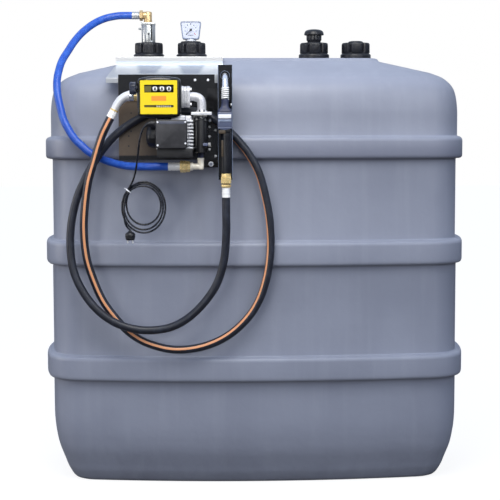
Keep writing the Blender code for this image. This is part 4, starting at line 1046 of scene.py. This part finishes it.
def plate():
    """Black plate with zinc rivets in its holes, a bolt on a washer at its foot, and black discs of painted
    shade in its open holes.
    """
    Form().node("pump_plate", PLATE, 0.0005, 1).made("mounting_plate", "black_enamel", "pump_plate")
    studs = Form()
    rivet = ((0.0036, -0.0045), (0.0036, 0.0002), (0.0048, 0.0003), (0.0046, 0.0014), (0.003, 0.0022))
    places = [(-0.2296, 1.5398), (-0.1816, 1.5398)]
    places += [(-0.1768, z) for z in (1.3888, 1.3667, 1.3316, 1.3001, 1.284)]
    for x, z in (*places, (-0.1545, 1.3555), (-0.1545, 1.2593)):
        studs.turned(rivet, (x, PLATE_FRONT, z), FRONT, FIGURE, 20)
    washer = (-0.172, -0.3922, 1.2297)
    studs.turned(((0.0098, 0), (0.0098, 0.001), (0.0092, 0.0014)), washer, FRONT, WHITE, 32)
    studs.turned(((0.005, 0.001), (0.005, 0.003), (0.0042, 0.0036)), washer, FRONT, RIM, 36, hexagon)
    studs.block((-0.1822, -0.396, 1.295), (-0.173, PLATE_FRONT, 1.309), PLATED, 0.0008)
    studs.block((-0.1572, -0.3905, 1.529), (-0.1452, -0.3889, 1.5606), ZINC, 0.0004)
    # Painted shade: black discs in the open holes stand for the dark behind them.
    holes = ((-0.4666, 1.4185), (-0.4672, 1.3515), (-0.4763, 1.3338), (-0.4766, 1.2967), (-0.4097, 1.2612))
    for x, z in holes:
        studs.rod((x, -0.388, z), (x, -0.3893, z), 0.0031, INK, 16, 0.0002)
    studs.made("plate_fixings", "zinc")


bracket()
plate()


# Motor and pump
MOTOR_BACK = -0.3893
LID_FRONT = -0.572
GLAND_Y, GLAND_Z = -0.548, 1.3765
CHAMBER_X, CHAMBER_Y = -0.2075, -0.503
INLET_X, TRANSFER_X = -0.2095, -0.205


def motor():
    """Finned motor with its black end, and a black block on its top left for painted shade."""
    front = -0.4985
    shell = Form().block((-0.37, front, 1.281), (-0.262, MOTOR_BACK, 1.4095), CAST, 0.008, 4)
    shell.block((-0.27, -0.474, 1.283), (-0.2375, MOTOR_BACK, 1.4085), CAST, 0.008, 4)
    fins, pitch, thick = 9, 0.0121, 0.006
    for number in range(fins):
        up = 1.2875 + pitch * number
        bulge = 0.0034 * math.sin(math.pi * (number + 1) / (fins + 1))
        shell.block((-0.264, front, up), (-0.2374 + bulge, -0.44, up + thick), BRIGHT_CAST, 0.0008)
    shell.made("motor_shell", "aluminium", "motor_body")
    cover = ((0.04, 0.0004), (0.043, 0.004), (0.043, 0.02), (0.04, 0.026), (0.033, 0.034), (0.02, 0.038))
    hood = Form().turned(cover, (-0.3702, -0.442, 1.333), LEFT, CAP, 48, ribbed(16, 0.04))
    # Painted shade: a black block over the motor's top left stands for the shade under the meter.
    hood.block((-0.369, -0.501, 1.3925), (-0.314, -0.43, 1.4125), CAP, 0.003)
    hood.made("motor_end", "black_plastic")


def terminal_box():
    """Box on the motor's front with a screwed lid, a black block below it for painted shade, and the lead's
    gland.
    """
    Form().node("terminal_box", LID, 0.0).made("terminal_case", "black_plastic", "terminal_box")
    left, right, foot, head = -0.3686, -0.26, 1.2895, 1.3898
    levels = ((0.0015, 0.0123), (0.0, 0.0108), (0.0, 0.002), (0.0008, 0.0006), (0.002, 0.0))
    rings = []
    for inset, back in levels:
        outline = oblong(left + inset, right - inset, foot + inset, head - inset, 0.006 - inset * 0.5)
        rings.append(laid(outline, LID_FRONT + back))
    lid = Form().skin(rings, LID)
    # Painted highlight: a lighter strip along the top of the lid stands for light on its bevel.
    lid.block((left + 0.011, -0.5726, 1.3765), (right - 0.006, -0.5715, 1.3865), LID_HIGHLIGHT, 0.0005)
    screw_head = ((0.0036, 0.0), (0.0036, 0.001), (0.0028, 0.0016), (0.0014, 0.0016), (0.0012, 0.001))
    for x, z in ((-0.3621, 1.3828), (-0.263, 1.3835), (-0.3621, 1.3004), (-0.263, 1.3072)):
        lid.turned(screw_head, (x, LID_FRONT + 0.0002, z), FRONT, FIGURE, 20)
    lid.made("terminal_cover", "black_plastic", "terminal_lid")
    # Painted shade: a black block under the motor stands for the shade it casts on the plate.
    shade_block = Form().block((-0.366, -0.556, 1.256), (-0.237, MOTOR_BACK, 1.289), SATIN, 0.003)
    shade_block.made("motor_shade_block", "black_enamel")
    gland = Form().rod((-0.368, GLAND_Y, GLAND_Z), (-0.375, GLAND_Y, GLAND_Z), 0.012, CAP, 36, share=hexagon)
    bend = ((-0.3745, 1.3775), (-0.383, 1.3785), (-0.392, 1.3775), (-0.401, 1.374), (-0.409, 1.3668))
    relief = curve([(x, GLAND_Y, z) for x, z in bend], 5)
    taper = [0.0122 - 0.0078 * (number / (len(relief) - 1)) ** 1.6 for number in range(len(relief))]
    taper = [radius - 0.0008 * (number % 3 == 2) for number, radius in enumerate(taper)]
    gland.pipe(relief, taper, CAP, 32)
    gland.made("lead_gland", "black_plastic", "cable_gland")


def pump():
    """Black pump body with its upright chamber, collar and bolts, the clip, and the nipple below."""
    form = Form().block((-0.2367, -0.505, 1.2716), (-0.184, -0.4258, 1.402), BLACK, 0.013, 4)
    chamber = ((0.0108, 1.272), (0.0129, 1.2745), (0.0133, 1.28), (0.0133, 1.388), (0.0122, 1.392))
    form.turned(chamber, (CHAMBER_X, CHAMBER_Y, 0), UP, SATIN, 40)
    ring = ((0.0118, 1.39), (0.0136, 1.3915), (0.0136, 1.4), (0.012, 1.4025))
    form.turned(ring, (CHAMBER_X, CHAMBER_Y, 0), UP, BLACK, 40)
    form.block((-0.236, -0.496, 1.396), (-0.1845, -0.43, 1.4094), BLACK, 0.003)
    for z in (1.29, 1.388):
        for x in (-0.229, -0.1905):
            form.screw((x, -0.5046, z), 0.0035, FRONT, BLACK)
    form.block((-0.188, -0.445, 1.38), (-0.169, -0.43, 1.3985), BLACK, 0.004)
    form.screw((-0.1756, -0.4448, 1.3894), 0.0048, FRONT, FIGURE)
    form.made("pump_casting", "black_enamel", "pump_head")
    clip = Form().block((-0.2007, -0.525, 1.2971), (-0.1825, -0.506, 1.308), NOZZLE, 0.0018)
    clip.made("chamber_clip", "grey_enamel", "filter_clip")
    start, end = (INLET_X, FLOW_Y, 1.2713), (INLET_X, FLOW_Y, 1.254)
    nipple = Form().rod(start, end, 0.0118, NOZZLE_DARK, 36, share=hexagon)
    nipple.made("inlet_nipple", "black_enamel", "suction_nipple")


def transfer():
    """Cast pipe from the pump to the meter, with bolted flanges at both ends."""
    bend = [(-0.2472, FLOW_Z), (-0.233, FLOW_Z), (-0.2185, 1.4732), (-0.2082, 1.464)]
    bend += [(TRANSFER_X, 1.45), (TRANSFER_X, 1.418)]
    form = Form().pipe(curve([(x, FLOW_Y, z) for x, z in bend], 4), 0.0162, CAST, 32)
    left = ((-0.242, 0.0275), (-0.2439, 0.0255))
    right = ((-0.225, 0.03), (-0.19, 0.03), (-0.17, 0.0275), (-0.168, 0.0255))
    flange = [(x, FLOW_Y - half) for x, half in left]
    flange += [(x, FLOW_Y + half) for x, half in (*reversed(left), *right)]
    flange += [(x, FLOW_Y - half) for x, half in reversed(right)]
    form.slab(flange, 1.4096, 1.4207, BRIGHT_CAST, 0.001, "Z")
    collar = ((0.0195, 1.418), (0.02, 1.4235), (0.019, 1.4255), (0.0165, 1.4275))
    form.turned(collar, (TRANSFER_X, FLOW_Y, 0), UP, CAST, 40)
    for x in (-0.212, -0.196):
        form.rod((x, -0.4835, 1.42), (x, -0.4835, 1.429), 0.0028, INK, 20)
    form.made("transfer_bend", "aluminium", "transfer_flange")
    cover = Form()
    plates = ((-0.2778, -0.27, 0.03), (-0.2695, -0.259, 0.028), (-0.2585, -0.2472, 0.029))
    for (start, end, deep), high in zip(plates, (0.0395, 0.038, 0.039)):
        outline = oblong(FLOW_Y - deep, FLOW_Y + deep, 1.4755 - high, 1.4755 + high, 0.02, 8)
        cover.slab(outline, start, end, CAST, 0.0018, "X")
    for z in (1.503, 1.449):
        cover.rod((-0.2475, -0.48, z), (-0.241, -0.48, z), 0.0048, PLATED, 24, 0.0006, hexagon)
    cover.made("inlet_casting", "aluminium", "inlet_flange")


def suction():
    """Brass elbow and union under the pump, and the crimped ferrule of the blue hose."""
    form = Form().rod((INLET_X, FLOW_Y, 1.2537), (INLET_X, FLOW_Y, 1.246), 0.0128, PALE_BRASS, 36)
    form.rod((INLET_X, FLOW_Y, 1.247), (INLET_X, FLOW_Y, 1.218), 0.0116, PALE_BRASS, 36)
    form.rod((-0.199, FLOW_Y, SUCTION_Z), (-0.248, FLOW_Y, SUCTION_Z), 0.0112, PALE_BRASS, 36, 0.002)
    form.block((-0.22, -0.471, 1.2105), (-0.1985, -0.449, 1.233), PALE_BRASS, 0.006, 3)
    socket = ((0.0125, 0), (0.015, 0.003), (0.015, 0.011))
    form.turned(socket, (-0.237, FLOW_Y, SUCTION_Z), LEFT, PALE_BRASS, 36)
    form.made("suction_bend", "brass", "suction_elbow")
    union = Form()
    for start, end, radius in ((-0.2484, -0.263, 0.0198), (-0.2632, -0.285, 0.022)):
        union.rod((start, FLOW_Y, SUCTION_Z), (end, FLOW_Y, SUCTION_Z), radius, BRASS, 36, 0.0012, hexagon)
    union.made("suction_union", "brass", "suction_nut")
    crimped((-0.2853, FLOW_Y, SUCTION_Z), LEFT, 0.0434, 0.0155, "suction_crimp", "suction_ferrule")


motor()
terminal_box()
pump()
transfer()
suction()


# Meter
METER_X, METER_Z = -0.3565, 1.472
FACE_X, FACE_Z = -0.35815, 1.47245
FACE_WIDE, FACE_HIGH = 0.0663, 0.0603
WHEEL_PLACES = (-0.3716, -0.3465, -0.3214)
WHEEL_Y, WHEEL_Z, WHEEL_RADIUS = -0.527, 1.50275, 0.0118


def meter_outline(half_width, half_height, corner):
    """Points of the meter's outline, with its top and bottom arched."""
    outline = plan(half_width, half_height, corner, math.radians(11), math.radians(2), (8, 8, 4))
    return [(METER_X + x, METER_Z + z) for x, z in outline]


def meter():
    """Mechanical meter: black body with an arched frame and a yellow face with two windows."""
    Form().node("meter_body", BLACK).made("meter_casting", "black_enamel", "meter_body")
    levels = (
        (0.077, 0.0735, 0.016, -0.5003), (0.0796, 0.0766, 0.018, -0.504),
        (0.0796, 0.0766, 0.018, -0.526), (0.079, 0.0757, 0.018, -0.532),
        (0.0772, 0.0731, 0.016, -0.5375), (0.074, 0.0694, 0.013, -0.5408),
    )
    rings = [laid(meter_outline(width, height, corner), y) for width, height, corner, y in levels]
    for spare, y in ((0.005, -0.5425), (0.0012, -0.5428), (0.0004, -0.541), (0.0004, -0.502)):
        outline = plan(FACE_WIDE + spare, FACE_HIGH + spare, 0.003 + spare, 0.007, 0.004, (8, 8, 4))
        rings.append(laid([(FACE_X + x, FACE_Z + z) for x, z in outline], y))
    front = Form().skin(rings, BLACK, closed=True)
    front.slab(meter_outline(0.0735, 0.068, 0.01), -0.501, -0.515, INK, 0.0)
    front.made("meter_surround", "black_enamel", "meter_frame", smooth=50)
    left, right = FACE_X - FACE_WIDE, FACE_X + FACE_WIDE
    face = oblong(left, right, FACE_Z - FACE_HIGH, FACE_Z + FACE_HIGH, 0.003)
    wide_window = oblong(-0.4097, -0.3045, 1.4891, 1.5172, 0.001, 2)
    slim_window = oblong(-0.4102, -0.305, 1.4362, 1.4446, 0.0006, 2)
    dial = Form().pierced(face, (wide_window, slim_window), -0.5408, -0.5438, YELLOW)
    dial.slab(oblong(-0.3848, -0.3313, 1.4595, 1.4768, 0.0006, 2), -0.5441, -0.5437, ORANGE, 0.0)
    dial.made("meter_dial", "yellow_enamel", "meter_face")


def counter():
    """Three number wheels behind the wide window, and the small figures behind the slim one."""
    wheel = ((0.006, 0.0119), (0.0112, 0.0118), (WHEEL_RADIUS, 0.0112))
    shaft = [(0.004, -0.412), (0.004, -0.408), (0.011, -0.4078), (0.011, -0.386), (0.006, -0.3858)]
    for x in WHEEL_PLACES:
        shaft += [(radius, x - half) for radius, half in wheel]
        shaft += [(radius, x + half) for radius, half in reversed(wheel)]
    shaft = [(radius, at - shaft[0][1]) for radius, at in (*shaft, (0.004, -0.306), (0.004, -0.303))]
    wheels = Form().turned(shaft, (-0.412, WHEEL_Y, WHEEL_Z), RIGHT, INK, 48)
    for x in WHEEL_PLACES:
        wheels.zero((x, WHEEL_Y, WHEEL_Z), 0.0155, 0.02, 0.0042, FIGURE, WHEEL_RADIUS)
    wheels.block((-0.4085, -0.5402, 1.4915), (-0.385, -0.5385, 1.5135), OLIVE, 0.0003, 1)
    wheels.block((-0.4112, -0.54, 1.435), (-0.3038, -0.5385, 1.4458), INK, 0.0002, 1)
    wheels.block((-0.4095, -0.5404, 1.4368), (-0.374, -0.5398, 1.444), OLIVE, 0.0002, 1)
    for step in range(7):
        wheels.zero((-0.364 + 0.0078 * step, -0.54, 1.4404), 0.005, 0.0066, 0.0013, FIGURE)
    wheels.made("counter_wheels", "black_plastic", "number_wheels")


def reset_knob():
    """Ribbed knob on the meter's left side, which turns with its body."""
    profile = (
        (0.008, 0.0003), (0.008, 0.0043), (0.0215, 0.0048), (0.023, 0.0068), (0.0233, 0.0085),
        (0.0233, 0.0235), (0.0222, 0.0262), (0.02, 0.028), (0.01, 0.0284),
    )
    knob = Form().turned(profile, (-0.4357, -0.515, 1.505), LEFT, KNOB, 96, ribbed(24, 0.05))
    knob.made("knob_cap", "black_plastic", "reset_knob", body="knob")


def outlet():
    """Brass nipple, grey coupling and swept elbow from the meter, with the hose's ring and ferrule."""
    form = Form().rod((-0.435, FLOW_Y, FLOW_Z), (-0.44, FLOW_Y, FLOW_Z), 0.0165, CAST, 36)
    form.rod((-0.438, FLOW_Y, 1.4745), (-0.4525, FLOW_Y, 1.4745), 0.014, BRASS, 36)
    form.rod((-0.4515, FLOW_Y, 1.476), (-0.47, FLOW_Y, 1.476), 0.016, CHROME, 36)
    bend = ((-0.467, 1.479), (-0.474, 1.4786), (-0.487, 1.4735), (-0.501, 1.463), (-0.514, 1.447))
    path = curve([*[(x, FLOW_Y, z) for x, z in bend], OUTLET_END], 5)
    taper = [0.0188 - 0.005 * number / (len(path) - 1) for number in range(len(path))]
    form.pipe(path, taper, BRIGHT_CAST, 32)
    form.rod((-0.4665, FLOW_Y, 1.479), (-0.473, FLOW_Y, 1.479), 0.0196, BRIGHT_CAST, 36, 0.0012)
    form.made("outlet_bend", "aluminium", "outlet_elbow")
    start = OUTLET_END + FERRULE_AIM * 0.0006
    ring = Form().rod(start, start + FERRULE_AIM * 0.005, 0.0158, BRASS, 36)
    ring.made("hose_ring", "brass", "outlet_ring")
    crimped(start + FERRULE_AIM * 0.0053, FERRULE_AIM, 0.028, 0.0158, "hose_crimp", "delivery_ferrule")


meter()
counter()
reset_knob()
outlet()


# Nozzle
NOZZLE_X, NOZZLE_Y = -0.117, -0.47
SPOUT_X = -0.1194


def holder():
    """Black channel that the nozzle hangs in, with its two arms, a black cup of painted shade in its spout
    hole, and painted highlight strips on its edges.
    """
    form = Form().node("nozzle_holder", PLATE, 0.0004, 1)
    form.made("holder_channel", "black_enamel", "nozzle_holder")
    mouth = (SPOUT_X, -0.424, 1.5549)
    # Painted shade: a black cup closes the spout's hole so that it shows dark round the spout.
    hole_shade_cup = ((0.0163, -0.002), (0.0175, -0.0005), (0.0175, 0.02), (0.002, 0.021), (0.002, 0.019))
    bush = Form().turned((*hole_shade_cup, (0.016, 0.018)), mouth, BACK, INK, 40, closed=True)
    rim = ((0.016, -0.0035), (0.0169, -0.0035), (0.0171, -0.003), (0.016, -0.003))
    bush.turned(rim, mouth, BACK, RIM, 40, closed=True)
    bush.made("spout_bush", "black_plastic")
    # Painted highlights: thin grey strips along the holder's flange edges stand for light caught on them.
    edges = Form()
    for x in (-0.1452, -0.0934):
        edges.block((x, -0.4276, 1.172), (x + 0.0014, -0.4268, 1.5936), RIM, 0.0003, 1)
    edges.block((-0.095, -0.4728, 1.18), (-0.0932, -0.4718, 1.465), RIM, 0.0003, 1)
    edges.made("holder_edge_glints", "grey_enamel")


def sprung_spout():
    """The nozzle hangs spout up. A coil spring stands round the foot of the bent spout."""
    bend = ((-0.4665, 1.52), (-0.4585, 1.536), (-0.446, 1.549), (-0.43, 1.556), (-0.408, 1.558))
    path = curve([(SPOUT_X, y, z) for y, z in ((NOZZLE_Y, 1.46), (NOZZLE_Y, 1.502), *bend)], 5)
    narrow = [0.0122 - 0.004 * max(0.0, (number - 5) / (len(path) - 6)) for number in range(len(path))]
    spout = Form().pipe(path[5:], narrow[5:], CHROME, 28)
    # Painted shade: the spout's foot inside the spring is black ink, so the gaps between the coils show
    # dark.
    spout.rod((SPOUT_X, NOZZLE_Y, 1.46), (SPOUT_X, NOZZLE_Y, 1.506), 0.0095, INK, 28)
    spring = []
    coils, coil_steps, coil_pitch, coil_radius = 6, 20, 0.007, 0.0118
    for step in range(coils * coil_steps + 1):
        turn = 2 * math.pi * step / coil_steps
        across, back = coil_radius * math.cos(turn), coil_radius * math.sin(turn)
        spring.append((SPOUT_X + across, NOZZLE_Y + back, 1.467 + coil_pitch * step / coil_steps))
    spout.pipe(spring, 0.0025, PLATED, 10)
    collar = ((0.014, 1.457), (0.0145, 1.462), (0.0135, 1.465), (0.0115, 1.467))
    spout.turned(collar, (SPOUT_X, NOZZLE_Y, 0), UP, NOZZLE_DARK, 36)
    spout.made("sprung_spout", "chrome", "nozzle_spout")


def shell():
    """Two-part body of the nozzle: a dark neck, and a block with bare bands round it."""
    middle_x, middle_y = -0.1213, -0.471
    neck_z, shell_z = 1.464, 1.42
    shoulders = (
        (0.023, 0.024, 1.418), (0.0254, 0.0262, shell_z), (0.0254, 0.0262, 1.4235),
        (0.0225, 0.0235, 1.43), (0.0165, 0.0175, 1.4355), (0.0137, 0.0147, 1.442),
        (0.013, 0.014, 1.452), (0.0126, 0.0136, neck_z),
    )
    rings = []
    for wide, deep, z in shoulders:
        x = SPOUT_X + (neck_z - z) / (neck_z - shell_z) * (middle_x - SPOUT_X)
        outline = oblong(x - wide, x + wide, middle_y - deep, middle_y + deep, 0.009)
        rings.append(laid(outline, z, "Z"))
    body = Form().skin(rings, NOZZLE_DARK)
    body.block((-0.1476, -0.4965, 1.364), (-0.0949, -0.444, 1.4215), NOZZLE, 0.005, 3)
    body.block((-0.145, -0.4984, 1.3971), (-0.0978, -0.495, 1.4117), FIGURE, 0.0006)
    body.block((-0.1455, -0.498, 1.3936), (-0.0975, -0.495, 1.3971), NOZZLE_DARK, 0.0004)
    body.block((-0.1455, -0.4982, 1.385), (-0.0975, -0.495, 1.3936), RIM, 0.0006)
    chevron = [(-0.1465, 1.366), (-0.1465, 1.36), (-0.1213, 1.3545), (-0.096, 1.36), (-0.096, 1.366)]
    body.slab(chevron, -0.4968, -0.445, NOZZLE, 0.0012)
    body.block((-0.14, -0.49, 1.343), (-0.1, -0.45, 1.36), GRIP, 0.003)
    body.block((-0.1436, -0.4965, 1.3418), (-0.1194, -0.488, 1.354), BRONZE_AND_REFLECTION, 0.001)
    body.screw((-0.0985, -0.487, 1.447), 0.0045, RIGHT, PLATED)
    body.made("nozzle_shell", "grey_enamel", "nozzle_body")


def handle():
    """Oval grip with a painted reflection strip down its front, and its lever."""
    levels = (
        (0.015, 0.014, 1.1966), (0.0178, 0.0165, 1.198), (0.0188, 0.0178, 1.21),
        (0.0193, 0.0184, 1.26), (0.0196, 0.0186, 1.33), (0.02, 0.0194, 1.343), (0.019, 0.0184, 1.349),
    )
    turns = round_the_clock(40)
    rings = []
    for wide, deep, z in levels:
        rings.append([(NOZZLE_X + wide * math.cos(t), NOZZLE_Y + deep * math.sin(t), z) for t in turns])
    grip = Form().skin(rings, GRIP)
    # Painted reflection: a bronze strip down the grip stands for the ground reflected in its gloss.
    grip.block((-0.134, -0.4893, 1.2575), (-0.1264, -0.483, 1.318), BRONZE_AND_REFLECTION, 0.002, 3)
    grip.made("grip_sleeve", "black_plastic", "nozzle_grip")
    lever = Form().node("nozzle_lever", BLACK, 0.0008, 2)
    lever.made("trigger_lever", "black_enamel", "nozzle_lever")


def swivel():
    """Brass swivel below the grip, with the hose's ferrule."""
    at = (NOZZLE_X, NOZZLE_Y, 0)
    top = ((0.016, 1.1962), (0.0178, 1.195), (0.0178, 1.185), (0.0165, 1.184))
    foot = ((0.016, 1.1565), (0.0185, 1.1555), (0.0185, 1.149), (0.015, 1.145))
    form = Form().turned(top, at, UP, BRASS, 36)
    form.rod((NOZZLE_X, NOZZLE_Y, 1.1842), (NOZZLE_X, NOZZLE_Y, 1.16), 0.0214, BRASS, 36, 0.0014, hexagon)
    form.turned(((0.015, 1.1605), (0.015, 1.156)), at, UP, BLACK, 36).turned(foot, at, UP, BRASS, 36)
    form.made("brass_swivel", "brass", "nozzle_swivel")
    crimped((NOZZLE_X, NOZZLE_Y, 1.1446), DOWN, 0.0361, 0.0155, "nozzle_crimp", "nozzle_ferrule")


holder()
sprung_spout()
shell()
handle()
swivel()


# Floor and light
FLOOR_SIZE = 30


def floor():
    """A plain pale floor. It lights the tank less than it shows, as the ground in the photo did."""
    paint = new_paint("floor")
    matt = paint.node("BsdfDiffuse", {}, {"Color": (0.85, 0.85, 0.86, 1)})
    glow = paint.node("Emission", {}, {"Color": (1, 1, 1, 1), "Strength": 1.12})
    pale = paint.node("MixShader", {}, {0: 0.22, 1: glow, 2: matt})
    dull = paint.node("BsdfDiffuse", {}, {"Color": (0.14, 0.13, 0.12, 1)})
    paint.two_looks("OutputMaterial", dull, pale)
    mesh = bpy.data.meshes.new("floor")
    corners = [(x * FLOOR_SIZE, y * FLOOR_SIZE, 0) for x, y in ((-1, -1), (1, -1), (1, 1), (-1, 1))]
    mesh.from_pydata(corners, [], [(0, 1, 2, 3)])
    mesh.materials.append(paint.owner)
    ground = bpy.data.objects.new("floor", mesh)
    bpy.context.scene.collection.objects.link(ground)


def sky():
    """White to look at. It lights the tank as an open sky, brighter and bluer overhead."""
    world = bpy.data.worlds.new("sky")
    bpy.context.scene.world = world
    paint = Paint(world)
    direction = paint.node("TexCoord", output="Generated")
    up = paint.node("SeparateXYZ", {}, {"Vector": direction}, 2)
    tint = paint.mix(up.smooth(-0.25, 0.15), (0.14, 0.12, 0.105, 1), (0.49, 0.55, 0.68, 1))
    tint = paint.mix(up.smooth(0.05, 0.8), tint, (0.84, 0.98, 1.22, 1))
    lit = paint.node("Background", {}, {"Color": tint, "Strength": 0.76})
    plain = paint.node("Background", {}, {"Color": (1, 1, 1, 1), "Strength": 1.0})
    paint.two_looks("OutputWorld", lit, plain)


def lamp(name, place, target, size, power, tint):
    light = bpy.data.lights.new(name, "AREA")
    light.shape = "DISK"
    light.size = size
    light.energy = power
    light.color = tint
    stand = bpy.data.objects.new(name, light)
    stand.location = place
    stand.rotation_mode = "QUATERNION"
    stand.rotation_quaternion = (Vector(target) - Vector(place)).to_track_quat("-Z", "Y")
    bpy.context.scene.collection.objects.link(stand)


floor()
sky()
lamp("top", (-0.2, -1.7, 2.9), (-0.1, -0.2, 1.4), 1.6, 41, (1.0, 0.97, 0.9))
lamp("side", (-4.2, -0.6, 1.6), (-0.5, 0, 1.0), 2.0, 38, (1.0, 0.95, 0.88))
lamp("counter", (2.4, -3.4, 2.8), (0, -0.3, 0.9), 0.9, 22, (0.92, 0.95, 1.0))
lamp("front", (-2.7, -5.4, 1.5), (-0.2, -0.35, 1.2), 1.8, 36, (1.0, 0.98, 0.94))
lamp("far", (1.6, -6.4, 2.2), (0.2, -0.35, 1.4), 1.0, 14, (1.0, 0.98, 0.94))
bpy.context.scene.view_settings.view_transform = "Standard"
